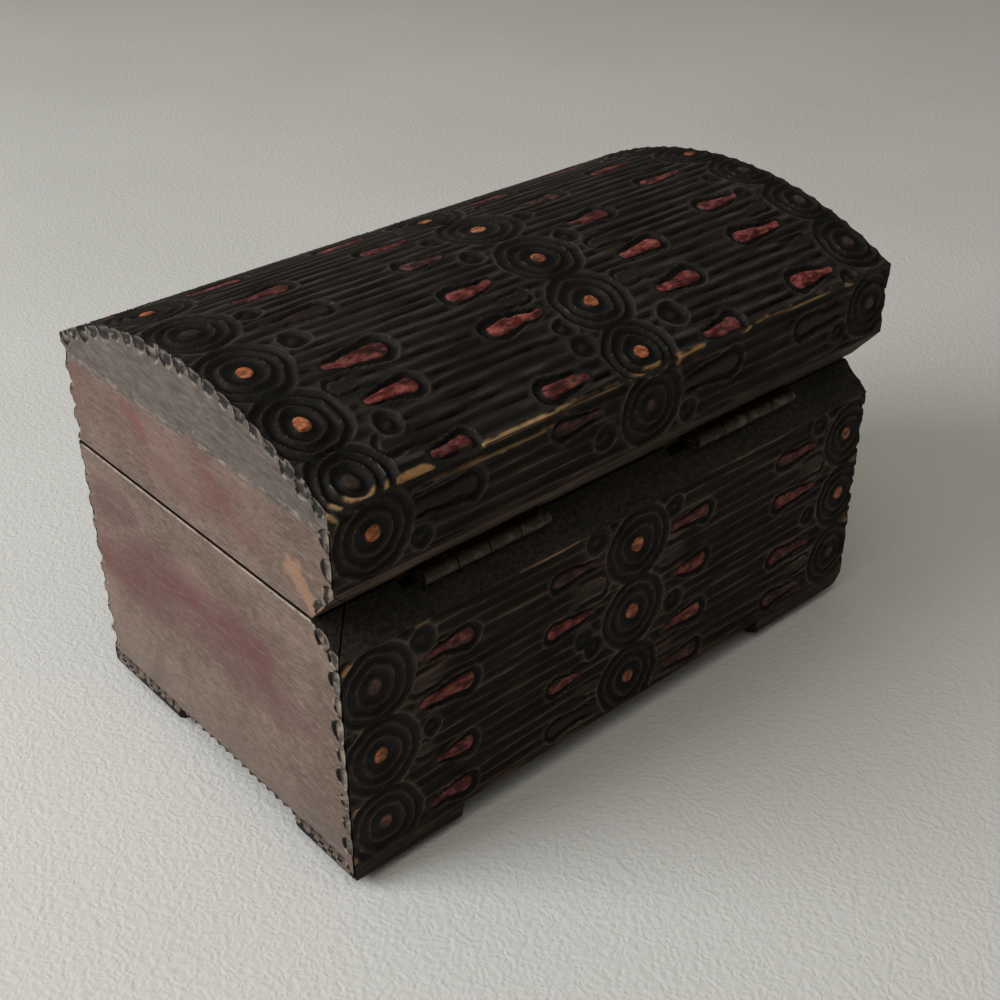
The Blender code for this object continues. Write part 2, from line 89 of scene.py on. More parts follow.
class Bench:
    """Adds nodes to one tree. A value is a number, a tuple, a name or another node's socket."""

    def __init__(self, tree):
        self.tree = tree
        self.given = {}
        if tree.type == "GEOMETRY" or tree.interface.items_tree:
            source = self.add("NodeGroupInput")
            self.given = {socket.name: socket for socket in source.outputs if socket.name}

    def fill(self, made, values):
        """Gives a node's inputs their values."""
        for key, value in values.items() if isinstance(values, dict) else enumerate(values):
            if isinstance(value, bpy.types.NodeSocket):
                self.tree.links.new(value, made.inputs[key])
            elif value is not None:
                made.inputs[key].default_value = value
        return made

    def add(self, kind, values=(), **settings):
        made = self.tree.nodes.new(kind)
        made.location = (180 * (len(self.tree.nodes) % 40), -220 * (len(self.tree.nodes) // 40))
        for name, value in settings.items():
            setattr(made, name, value)
        return self.fill(made, values)

    def out(self, kind, values=(), **settings):
        return self.add(kind, values, **settings).outputs[0]

    def math(self, operation, *values):
        return self.out("ShaderNodeMath", values, operation=operation)

    def times(self, first, second):
        return self.math("MULTIPLY", first, second)

    def apart(self, first, second):
        """How far apart two values are."""
        return self.math("ABSOLUTE", self.math("SUBTRACT", first, second))

    def vector(self, operation, *values):
        return self.out("ShaderNodeVectorMath", values, operation=operation)

    def stretch(self, vector, factors):
        return self.vector("MULTIPLY", vector, factors)

    def split(self, vector):
        return self.add("ShaderNodeSeparateXYZ", (vector,)).outputs

    def scaled(self, vector, factor):
        return self.out("ShaderNodeVectorMath", {0: vector, 3: factor}, operation="SCALE")

    def step(self, value, low, high, start=0.0, end=1.0):
        """A smooth step from start at low to end at high."""
        return self.out("ShaderNodeMapRange", (value, low, high, start, end), interpolation_type="SMOOTHSTEP")

    def ramp(self, value, low, high, start=0.0, end=1.0):
        return self.out("ShaderNodeMapRange", (value, low, high, start, end))

    def mix(self, factor, first, second):
        return self.out("ShaderNodeMix", {0: factor, 2: first, 3: second}, data_type="FLOAT")

    def mix_vector(self, factor, first, second):
        return self.add("ShaderNodeMix", {0: factor, 4: first, 5: second}, data_type="VECTOR").outputs[1]

    def mix_colour(self, factor, first, second, blend="MIX"):
        pair = [(*c, 1) if isinstance(c, tuple) else c for c in (first, second)]
        values = {0: factor, 6: pair[0], 7: pair[1]}
        return self.add("ShaderNodeMix", values, data_type="RGBA", blend_type=blend).outputs[2]

    def noise(self, vector, scale, detail=2.0, roughness=0.5):
        return self.cloud(vector, scale, detail, roughness)[0]

    def cloud(self, vector, scale, detail=2.0, roughness=0.5):
        """Noise as a value and as a vector."""
        values = {"Vector": vector, "Scale": scale, "Detail": detail, "Roughness": roughness}
        return self.add("ShaderNodeTexNoise", values).outputs

    def bump(self, height, strength, distance):
        return self.out("ShaderNodeBump", {"Strength": strength, "Distance": distance, "Height": height})

    def curve(self, value, span, points):
        """The height at value of a curve through points, given as (place, height, sharp)."""
        made = self.add("ShaderNodeFloatCurve", {1: self.math("DIVIDE", value, span)})
        line = made.mapping.curves[0].points
        while len(line) < len(points):
            line.new(0.5, 0.5)
        for point, (place, height, sharp) in zip(line, points):
            point.location = (place / span, height)
            point.handle_type = "VECTOR" if sharp else "AUTO"
        made.mapping.update()
        return made.outputs[0]

    def named(self, name, kind="FLOAT"):
        """An attribute of the geometry."""
        return self.out("GeometryNodeInputNamedAttribute", (name,), data_type=kind)

    def over(self, domain, value):
        """A value averaged over another domain."""
        return self.out("GeometryNodeFieldOnDomain", (value,), data_type="FLOAT", domain=domain)

    def store(self, shape, name, value, kind="FLOAT", domain="POINT"):
        return self.out("GeometryNodeStoreNamedAttribute", {"Geometry": shape, "Name": name, "Value": value},
                        data_type=kind, domain=domain)

    def brought(self, source):
        """Another object's geometry, as it stands."""
        return self.add("GeometryNodeObjectInfo", (source,), transform_space="ORIGINAL").outputs["Geometry"]

    def coat(self, shape, material, chosen=True):
        values = {"Geometry": shape, "Selection": chosen, "Material": material}
        return self.out("GeometryNodeSetMaterial", values)

    def combine(self, operation, shapes, cut_from=None):
        """A mesh Boolean of shapes, or of cut_from less shapes."""
        made = self.add("GeometryNodeMeshBoolean", operation=operation, solver="MANIFOLD")
        if cut_from:
            self.tree.links.new(cut_from, made.inputs["Mesh 1"])
        for shape in shapes:
            self.tree.links.new(shape, made.inputs["Mesh 2"])
        return made.outputs[0]

    def group(self, tree, values):
        made = self.tree.nodes.new(self.tree.bl_idname.replace("NodeTree", "NodeGroup"))
        made.node_tree = tree
        return self.fill(made, values).outputs

    def finish(self, values):
        self.fill(self.tree.nodes.new("NodeGroupOutput"), values)


def new_tree(name, kind, inputs, outputs):
    tree = bpy.data.node_groups.new(name, kind)
    for label, socket, default in inputs:
        item = tree.interface.new_socket(name=label, in_out="INPUT", socket_type=socket)
        if default is not None:
            item.default_value = default
    for label, socket in outputs:
        tree.interface.new_socket(name=label, in_out="OUTPUT", socket_type=socket)
    return tree


def run_tree(carrier, tree, values):
    """Runs a geometry tree on an object and returns the result as a plain mesh."""
    modifier = carrier.modifiers.new(tree.name, "NODES")
    modifier.node_group = tree
    for item in tree.interface.items_tree:
        if item.in_out == "INPUT" and item.name in values:
            modifier[item.identifier] = values[item.name]
    bpy.context.view_layer.update()
    graph = bpy.context.evaluated_depsgraph_get()
    mesh = bpy.data.meshes.new_from_object(carrier.evaluated_get(graph), depsgraph=graph)
    carrier.modifiers.remove(modifier)
    return mesh


def place(name, mesh):
    made = bpy.data.objects.new(name, mesh)
    bpy.context.scene.collection.objects.link(made)
    return made


# Layout of the carving, in millimetres on the unrolled faces. A whole mark is
# (across, up, reach, start radius, end radius, paint strength, paint); the tables
# leave out what all their marks share.

RED = (0.165, 0.024, 0.021)
BRIGHT = (0.245, 0.036, 0.029)
DULL = (0.080, 0.022, 0.018)
ORANGE = (0.50, 0.155, 0.048)
BROWN = (0.13, 0.040, 0.022)
NONE = (0.05, 0.04, 0.035)
BACK_SHEET, FRONT_SHEET = 200.0, 320.0


# Reach of a round mark, which has no length of its own
POINT_REACH = 0.02


def rosettes(places):
    return [(x, up, POINT_REACH, size, size, strength, paint) for x, up, size, strength, paint in places]


def rings(places):
    return [(x, up, POINT_REACH, radius, radius, 0.0, NONE) for x, up, radius in places]


def tongues(places):
    return [(*place, 0.0, NONE) for place in places]


# across, up, size, paint strength, paint
BACK_ROSETTES = [
    (68.0, 46.5, 1.0, 0.8, DULL), (67.6, 29.8, 1.0, 1.0, ORANGE), (67.5, 12.8, 1.0, 0.8, BROWN),
    (0.5, 46.8, 1.02, 1.0, ORANGE), (1.0, 30.0, 1.0, 1.0, ORANGE), (1.6, 12.8, 1.0, 1.0, ORANGE),
    (-68.4, 46.5, 0.92, 0.9, ORANGE), (-68.2, 30.2, 0.92, 0.9, ORANGE), (-67.6, 13.6, 0.92, 0.2, BROWN),
]
# start, up, reach, width at the start, width at the end, strength, paint
BACK_DROPS = [
    (56.0, 46.9, -9.7, 1.3, 1.6, 0.9, RED), (57.2, 36.0, -11.0, 1.5, 1.7, 1.0, BRIGHT),
    (54.6, 20.5, -7.6, 0.8, 1.8, 1.0, BRIGHT), (56.2, 10.1, -9.2, 1.3, 1.6, 0.9, RED),
    (12.4, 47.5, 10.4, 1.2, 1.4, 0.8, DULL), (13.2, 35.7, 10.6, 1.0, 1.5, 1.0, BRIGHT),
    (17.2, 21.4, 6.0, 1.1, 1.5, 0.9, RED), (12.4, 10.0, 10.8, 1.3, 1.6, 0.0, NONE),
    (-9.6, 46.0, -10.4, 1.1, 1.6, 0.9, RED), (-11.6, 33.6, -8.0, 1.0, 1.7, 1.0, BRIGHT),
    (-10.2, 20.2, -8.8, 1.3, 1.9, 1.0, BRIGHT), (-9.6, 9.6, -9.4, 1.4, 1.7, 0.8, DULL),
    (-56.0, 48.0, 10.0, 1.2, 1.6, 0.9, RED), (-57.0, 36.8, 11.2, 1.2, 1.6, 1.0, BRIGHT),
    (-57.0, 21.6, 11.0, 1.1, 1.6, 0.9, RED), (-56.0, 10.1, 10.6, 1.2, 1.6, 0.8, DULL),
]
# across, up, reach, start radius, end radius
BACK_TONGUES = [
    (58.4, 41.8, -9.0, 2.1, 2.0), (11.8, 41.5, 9.5, 2.2, 2.0),
    (-7.8, 39.6, -9.0, 2.2, 2.0), (-58.2, 42.4, 8.0, 1.9, 1.9),
    (58.6, 25.3, -5.0, 1.5, 1.4), (11.5, 15.8, 7.0, 1.5, 1.6),
    (-7.5, 15.0, -7.0, 1.5, 1.5), (-57.5, 15.8, 8.0, 1.5, 1.5),
]
# across, up, radius
BACK_RINGS = [
    (57.0, 51.6, 3.1), (55.6, 29.8, 2.4),
    (12.6, 52.9, 3.2), (15.4, 30.0, 2.6),
    (12.6, 26.6, 2.8), (-9.8, 51.6, 2.9),
    (-11.2, 27.0, 2.9), (-57.6, 53.0, 2.6),
    (-56.8, 29.0, 2.6),
]
LID_ROSETTES = [
    (66.0, -43.4, 1.0, 0.9, ORANGE), (66.2, -26.0, 1.0, 1.0, ORANGE), (68.0, -6.6, 1.04, 0.1, BROWN),
    (68.6, 12.2, 1.04, 1.0, ORANGE), (68.2, 28.8, 1.0, 1.0, ORANGE), (68.0, 43.2, 0.92, 0.2, BROWN),
    (-3.0, -44.0, 0.95, 0.9, ORANGE), (-3.4, -27.0, 1.0, 1.0, ORANGE), (-4.0, -9.0, 1.04, 1.0, ORANGE),
    (-3.6, 10.0, 1.02, 1.0, ORANGE), (-2.2, 27.0, 1.0, 1.0, ORANGE), (-1.6, 42.6, 0.94, 1.0, ORANGE),
    (-71.6, -44.0, 0.95, 0.8, ORANGE), (-72.4, -28.0, 0.95, 0.3, BROWN), (-72.6, -11.5, 0.95, 0.9, ORANGE),
    (-72.8, 5.2, 0.95, 0.2, BROWN), (-72.8, 21.8, 0.95, 0.2, BROWN), (-71.6, 38.0, 0.95, 0.2, BROWN),
]
LID_STRIP_ROSETTES = [
    (66.8, 78.6, 0.96, 1.0, ORANGE), (-1.0, 78.6, 0.94, 0.5, DULL), (-70.0, 79.0, 0.90, 0.4, BROWN),
]
LID_DROPS = [
    (53.2, -14.0, -9.6, 1.3, 2.0, 0.9, RED), (55.2, 1.0, -10.8, 1.4, 1.8, 0.15, DULL),
    (55.8, 18.6, -11.2, 1.2, 2.2, 0.9, RED), (54.4, 29.8, -9.0, 1.3, 1.8, 1.0, BRIGHT),
    (51.0, 45.0, -6.6, 1.3, 1.6, 0.9, RED), (54.0, -31.0, -10.0, 1.3, 1.8, 1.0, BRIGHT),
    (53.0, -43.5, -9.0, 1.3, 1.7, 0.9, RED),
    (12.0, -3.2, 7.6, 1.2, 1.8, 0.8, DULL), (12.2, 12.2, 8.6, 1.5, 1.8, 0.8, BRIGHT),
    (9.8, 25.0, 11.4, 1.3, 1.9, 1.0, BRIGHT), (13.4, 42.7, 8.6, 1.3, 1.9, 0.8, RED),
    (10.6, -17.0, 9.0, 1.3, 1.8, 0.9, RED), (11.2, -31.5, 9.6, 1.2, 1.7, 1.0, BRIGHT),
    (12.2, -43.0, 9.0, 1.2, 1.7, 0.9, RED),
    (-20.8, -14.4, -9.4, 1.3, 1.8, 0.7, DULL), (-19.8, 2.2, -9.0, 1.2, 1.8, 0.8, RED),
    (-19.2, 18.4, -9.4, 1.3, 1.8, 1.0, BRIGHT), (-18.4, 30.5, -9.4, 1.3, 1.8, 1.0, BRIGHT),
    (-18.2, 45.0, -8.4, 1.3, 1.7, 0.9, RED), (-18.8, -29.4, -9.2, 1.2, 1.8, 0.9, RED),
    (-18.0, -43.6, -9.2, 1.2, 1.7, 0.9, RED),
    (-59.8, 13.0, 9.0, 1.2, 1.8, 0.9, RED), (-59.6, 26.0, 11.0, 1.3, 1.8, 1.0, BRIGHT),
    (-59.6, 42.2, 9.8, 1.2, 1.8, 1.0, BRIGHT), (-60.2, -4.5, 9.6, 1.2, 1.7, 0.9, RED),
    (-59.6, -20.5, 9.6, 1.2, 1.7, 0.9, RED), (-58.6, -36.0, 10.0, 1.2, 1.7, 0.9, BRIGHT),
]
LID_TONGUES = [
    (57.6, 39.8, -8.0, 1.7, 1.5), (57.8, 24.0, -7.0, 1.5, 1.4),
    (9.8, 19.4, 8.0, 1.5, 1.4), (-17.4, 12.0, -8.0, 1.6, 1.4),
    (-13.4, 24.6, -8.0, 1.7, 1.5), (-60.6, 33.8, 8.0, 1.7, 1.5),
    (-61.2, 19.6, 7.0, 1.6, 1.4), (57.0, -22.0, -8.0, 1.6, 1.5),
    (9.0, -24.0, 8.0, 1.6, 1.5), (-17.0, -22.0, -8.0, 1.6, 1.5),
    (-60.6, -12.0, 8.0, 1.6, 1.4), (57.0, -38.0, -8.0, 1.6, 1.5),
]
LID_RINGS = [
    (55.4, 8.2, 3.2), (54.8, 35.6, 3.0),
    (8.6, 30.8, 2.5), (8.2, 36.6, 3.1),
    (-15.2, 37.4, 3.4), (7.6, 2.0, 3.0),
    (-15.0, 6.0, 2.9), (-62.4, 46.0, 2.4),
    (-63.0, 13.4, 2.6), (56.0, -6.0, 2.8),
    (7.8, -10.0, 2.8), (-15.4, -8.0, 2.8),
    (-62.6, -28.0, 2.6), (-62.8, 4.0, 2.4),
]
STRIP_DROPS = [
    (57.8, 79.5, -13.0, 1.6, 1.8, 0.0, NONE), (13.4, 82.0, 9.2, 1.2, 1.5, 0.8, DULL),
    (-10.4, 79.8, -14.0, 1.6, 1.8, 0.0, NONE), (-60.4, 80.4, 13.6, 1.5, 1.7, 0.0, NONE),
]
STRIP_RINGS = [
    (56.4, 73.6, 2.6), (11.4, 76.2, 3.0),
    (-11.6, 74.0, 2.8), (-59.6, 75.4, 2.6),
]
# Places where the wood is worn bare: across, up, reach, start radius, end radius, strength.
# On the lid, up is counted down from the crease between dome and back rail.
LID_WORN = [
    (41.5, 0.0, -33.5, 0.9, 0.9, 1.0), (59.5, -0.6, -5.0, 1.2, 1.2, 1.0),
    (-8.5, 0.2, -6.0, 1.5, 1.4, 1.0), (-27.0, 0.2, -35.0, 0.7, 0.8, 0.8),
    (76.5, 0.3, -2.6, 1.5, 1.4, 1.0), (61.0, -1.0, 13.0, 0.8, 0.8, 0.8),
    (4.6, -0.6, -9.0, 0.9, 0.9, 0.9), (58.0, 2.7, -34.0, 0.30, 0.26, 0.38),
]
BACK_WORN = [
    (75.6, 53.4, -2.6, 1.0, 0.6, 1.0), (75.8, 37.6, -1.4, 0.9, 0.6, 0.9),
    (75.8, 19.2, -2.4, 0.9, 0.6, 0.9), (75.8, 8.4, -1.6, 1.3, 0.8, 1.0),
    (31.0, 51.3, -7.0, 0.35, 0.3, 0.7), (-73.6, 38.0, 1.0, 0.8, 0.6, 0.8),
    (-73.6, 21.0, 1.4, 0.8, 0.6, 0.8), (33.0, 55.0, -15.0, 0.35, 0.30, 0.6),
    (-20.0, 55.1, -24.0, 0.30, 0.25, 0.45), (60.0, 55.0, -12.0, 0.30, 0.25, 0.4),
]


def lid_strip(marks, side):
    """Moves marks given by height on the lid's upright face to the unrolled lid."""
    return [(m[0], side * (HALF_ARC + CREASE - m[1]), *m[2:]) for m in marks]


def on_sheet(marks, sheet):
    return [(m[0], m[1] + sheet, *m[2:]) for m in marks]


# Width of a drop's tail, as a share of the width in its table
TAIL = 0.62


def pointed(marks):
    """The same drops with a narrower tail."""
    return [(*m[:3], m[3] * TAIL, *m[4:]) for m in marks]


def mirrored(marks):
    """The same marks turned end for end about the middle of the body."""
    middle = BODY_RIGHT + BODY_LEFT
    return [(middle - m[0], m[1], -m[2], *m[3:]) for m in marks]


def mark_set(name, back, lid, strip):
    """All marks of one kind, on the body's long faces and on the lid, as edges with their sizes."""
    marks = on_sheet(back, BACK_SHEET) + on_sheet(mirrored(back), FRONT_SHEET) + lid
    marks += lid_strip(strip, 1) + lid_strip(mirrored(strip), -1)
    points = []
    for x, up, reach, *_ in marks:
        points += [(x, up, 0), (x + reach, up, 0)]
    mesh = bpy.data.meshes.new(name)
    mesh.from_pydata(points, [(2 * i, 2 * i + 1) for i in range(len(marks))], [])
    columns = {
        "start": [(m[0], m[1], m[2]) for m in marks],
        "build": [(m[3], m[4], m[5]) for m in marks],
        "tint": [m[6] for m in marks],
    }
    for label, rows in columns.items():
        layer = mesh.attributes.new(label, "FLOAT_VECTOR", "EDGE")
        layer.data.foreach_set("vector", np.array(rows, np.float32).ravel())
    return place(name, mesh)


# The two blocks, body and lid, as closed skins fine enough to carve

def spread(low, high, step):
    return np.linspace(low, high, max(2, int(round(abs(high - low) / step)) + 1))


def ease(value, low, high):
    share = np.clip((value - low) / (high - low), 0, 1)
    return share * share * (3 - 2 * share)


class Skin:
    """Vertices with the values that the carving reads, and faces."""

    def __init__(self):
        self.rows = []
        self.faces = []

    def add(self, x, y, z, outward, chart, course, reed, margin, tone):
        """Adds an array of vertices and returns their numbers."""
        shape = np.broadcast(x, y, z).shape
        start = sum(len(r) for r in self.rows)
        parts = [x, y, z, *outward, *chart, course, reed, margin, tone]
        self.rows.append(np.stack([np.broadcast_to(p, shape).ravel() for p in parts], -1))
        return start + np.arange(int(np.prod(shape))).reshape(shape)

    def quads(self, grid, wrap=False, flip=False):
        if wrap:
            grid = np.concatenate([grid, grid[:1]], 0)
        corners = [grid[:-1, :-1], grid[1:, :-1], grid[1:, 1:], grid[:-1, 1:]]
        if flip:
            corners.reverse()
        self.faces += np.stack([c.ravel() for c in corners], -1).tolist()

    def mesh(self, name):
        data = np.concatenate(self.rows, 0)
        mesh = bpy.data.meshes.new(name)
        mesh.from_pydata((data[:, 0:3] * MM).tolist(), [], self.faces)
        for label, first in (("outward", 3), ("chart", 6)):
            layer = mesh.attributes.new(label, "FLOAT_VECTOR", "POINT")
            layer.data.foreach_set("vector", data[:, first:first + 3].astype(np.float32).ravel())
        for label, column in (("course", 9), ("reed", 10), ("margin", 11), ("tone", 12)):
            layer = mesh.attributes.new(label, "FLOAT", "POINT")
            layer.data.foreach_set("value", data[:, column].astype(np.float32))
        mesh.update()
        return mesh


FINE_X, FINE_UP = 0.38, 0.36
EDGE_FADE = 1.3
FIELD_BOTTOM = 4.5
BODY_PITCH, REED_PITCH, STRIP_PITCH = (BODY_LIP - FIELD_BOTTOM) / 18, HALF_ARC / 16, 3.1


def body_block():
    skin = Skin()
    heights = np.concatenate([[-1.0, 2.0, FIELD_BOTTOM], spread(FOOT_TOP, BODY_TOP - 0.4, FINE_UP),
                              [BODY_TOP + 1.0]])
    long_way = spread(BODY_RIGHT, BODY_LEFT, FINE_X)
    short_way = spread(BACK, FRONT, 1.5)
    loops = []
    sides = (("back", long_way, BACK_SHEET, BODY_LIP), ("left", short_way, 0, 0),
             ("front", long_way[::-1], FRONT_SHEET, BODY_TOP - 0.8), ("right", short_way[::-1], 0, 0))
    for side, stations, sheet, lip in sides:
        stations = stations[:-1]
        across, up = np.meshgrid(stations, heights, indexing="ij")
        corner = (np.arange(len(stations)) == 0)[:, None] * 1.0
        if side in ("back", "front"):
            sign = 1.0 if side == "back" else -1.0
            inside = np.minimum(BODY_RIGHT - across, across - BODY_LEFT)
            margin = ease(inside, 0.0, EDGE_FADE) * ease(up, FOOT_TOP, FOOT_TOP + 1.0)
            margin = margin * ease(lip - up, -0.3, 0.9)
            course = (up - FIELD_BOTTOM) / BODY_PITCH
            loops.append(skin.add(across, sign * BACK, up, (corner * sign, sign, 0.0),
                                  (across, up + sheet, 0.0), course, 0.0, margin, 1.0))
        else:
            sign = 1.0 if side == "right" else -1.0
            face = BODY_RIGHT if side == "right" else BODY_LEFT
            loops.append(skin.add(face, across, up, (sign, -corner * sign, 0.0),
                                  (across, up, 0.0), 0.0, 0.0, 0.0, 0.0))
    grid = np.concatenate(loops, 0)
    skin.quads(grid, wrap=True)
    skin.faces.append(grid[::-1, 0].tolist())
    skin.faces.append(grid[:, -1].tolist())
    return skin.mesh("body_block")


def lid_block():
    skin = Skin()
    low = LID_BOTTOM - 1.0
    heights = np.concatenate([[low], spread(LID_BOTTOM + 0.2, CREASE, FINE_UP + 0.04)])
    arc = spread(-HALF_ARC, HALF_ARC, 0.42)
    across = spread(LID_LEFT, LID_RIGHT, 0.43)
    rises = len(heights) - 1
    angle = arc / DOME_RADIUS
    arc_y, arc_z = DOME_RADIUS * np.sin(angle), DOME_CENTRE + DOME_RADIUS * np.cos(angle)
    flat = np.zeros(rises)
    y = np.concatenate([flat + FRONT, arc_y, flat + BACK])
    z = np.concatenate([heights[:-1], arc_z, heights[:-1][::-1]])
    out_y = np.concatenate([flat - 1, np.sin(angle), flat + 1])
    out_z = np.concatenate([flat, np.cos(angle), flat])
    drop = HALF_ARC + CREASE - heights[:-1]
    unrolled = np.concatenate([-drop, arc, drop[::-1]])
    for edge in (rises, rises + len(arc) - 1):
        out_y[edge] = math.copysign(1.0, y[edge])
        out_z[edge] = 0.55
    upright = np.concatenate([flat + 1, arc * 0, flat + 1])
    lip = np.where(unrolled > 0, LID_LIP, LID_BOTTOM)
    to_crease = np.abs(np.abs(unrolled) - HALF_ARC)
    rim = np.where(upright > 0, ease(z - lip, 0.0, 1.0), 1.0) * (0.3 + 0.7 * ease(to_crease, 0.0, 1.6))
    course = np.where(upright > 0, z / STRIP_PITCH, unrolled / REED_PITCH)
    x_grid = np.meshgrid(across, y, indexing="ij")[0]
    ends = ease(np.minimum(x_grid - LID_LEFT, LID_RIGHT - x_grid), 0.0, EDGE_FADE)
    out_x = np.zeros(len(across))
    out_x[0], out_x[-1] = -1.0, 1.0
    grid = skin.add(x_grid, y[None, :], z[None, :], (out_x[:, None], out_y[None, :], out_z[None, :]),
                    (x_grid, unrolled[None, :], 0.0), course[None, :], (1 - upright)[None, :],
                    ends * rim[None, :], (0.7 * upright)[None, :])
    skin.quads(grid)
    share = (heights - low) / (CREASE - low)
    last = len(arc) - 1
    caps = []
    for column, face, flip in ((-1, LID_RIGHT, False), (0, LID_LEFT, True)):
        cap = np.zeros((len(arc), len(heights)), int)
        cap[0, :rises] = grid[column, :rises]
        cap[last, :rises] = grid[column, ::-1][:rises]
        cap[:, rises] = grid[column, rises:rises + len(arc)]
        inner_z = low + share[None, :-1] * (arc_z[1:-1, None] - low)
        cap[1:-1, :rises] = skin.add(face, arc_y[1:-1, None], inner_z, (math.copysign(1.0, face), 0.0, 0.0),
                                     (0.0, 0.0, 0.0), 0.0, 0.0, 0.0, 0.0)
        skin.quads(cap, flip=flip)
        caps.append(cap)
    under = list(grid[:, 0]) + list(caps[0][1:-1, 0]) + list(grid[::-1, -1]) + list(caps[1][1:-1, 0][::-1])
    skin.faces.append([int(v) for v in under[::-1]])
    return skin.mesh("lid_block")


# Geometry trees

def nearest_mark_tree():
    """Finds the nearest mark to a place on the unrolled faces, and how far out of it the place lies."""
    tree = new_tree("nearest_mark", "GeometryNodeTree",
                    [("Marks", GEOMETRY, None), ("Place", VECTOR, None)],
                    [("Ratio", FLOAT), ("Along", FLOAT), ("Share", FLOAT), ("Strength", FLOAT),
                     ("Tint", VECTOR)])
    b = Bench(tree)
    index = b.out("GeometryNodeSampleNearest", (b.given["Marks"], b.given["Place"]), domain="EDGE")

    def read(name):
        values = {"Geometry": b.given["Marks"], "Value": b.named(name, "FLOAT_VECTOR"), "Index": index}
        return b.out("GeometryNodeSampleIndex", values, data_type="FLOAT_VECTOR", domain="EDGE")

    start = b.split(read("start"))
    build = b.split(read("build"))
    here = b.split(b.given["Place"])
    sideways = b.math("SUBTRACT", here[0], start[0])
    along = b.times(sideways, b.math("SIGN", start[2]))
    share = b.add("ShaderNodeClamp", (b.math("DIVIDE", sideways, start[2]), 0.0, 1.0)).outputs[0]
    short = b.math("SUBTRACT", sideways, b.times(start[2], share))
    rise = b.math("SUBTRACT", here[1], start[1])
    away = b.math("SQRT", b.math("ADD", b.times(short, short), b.times(rise, rise)))
    width = b.mix(share, build[0], build[1])
    b.finish({"Ratio": b.math("DIVIDE", away, width), "Along": along, "Share": share,
              "Strength": build[2], "Tint": read("tint")})
    return tree


# Profiles of the cuts: place across the mark, depth as a share, sharp or smooth
ROSETTE_CUT = [(0, .10, 0), (1.35, .08, 1), (1.9, .52, 0), (2.75, .86, 0), (3.6, .56, 0), (4.3, 0, 1),
               (4.9, .56, 0), (5.55, .88, 0), (6.2, .56, 0), (6.8, 0, 1), (7.35, .52, 0), (7.95, .84, 0),
               (8.6, .42, 0), (9.1, .0, 1), (9.6, .10, 0)]
DROP_CUT = [(0, .26, 0), (.8, .30, 0), (1.0, .45, 0), (1.22, .92, 0), (1.5, 1, 0), (1.75, .62, 0),
            (1.98, 0, 1), (2.2, .1, 0)]
TONGUE_CUT = [(0, .22, 0), (.7, .2, 0), (.95, 0, 1), (1.15, .8, 0), (1.35, 1, 0), (1.6, .5, 0), (1.8, 0, 1),
              (2.0, .1, 0)]
RING_CUT = [(0, .34, 0), (.22, .36, 1), (.42, .92, 0), (.6, 1, 0), (.82, .55, 0), (1.0, 0, 1), (1.2, .1, 0)]


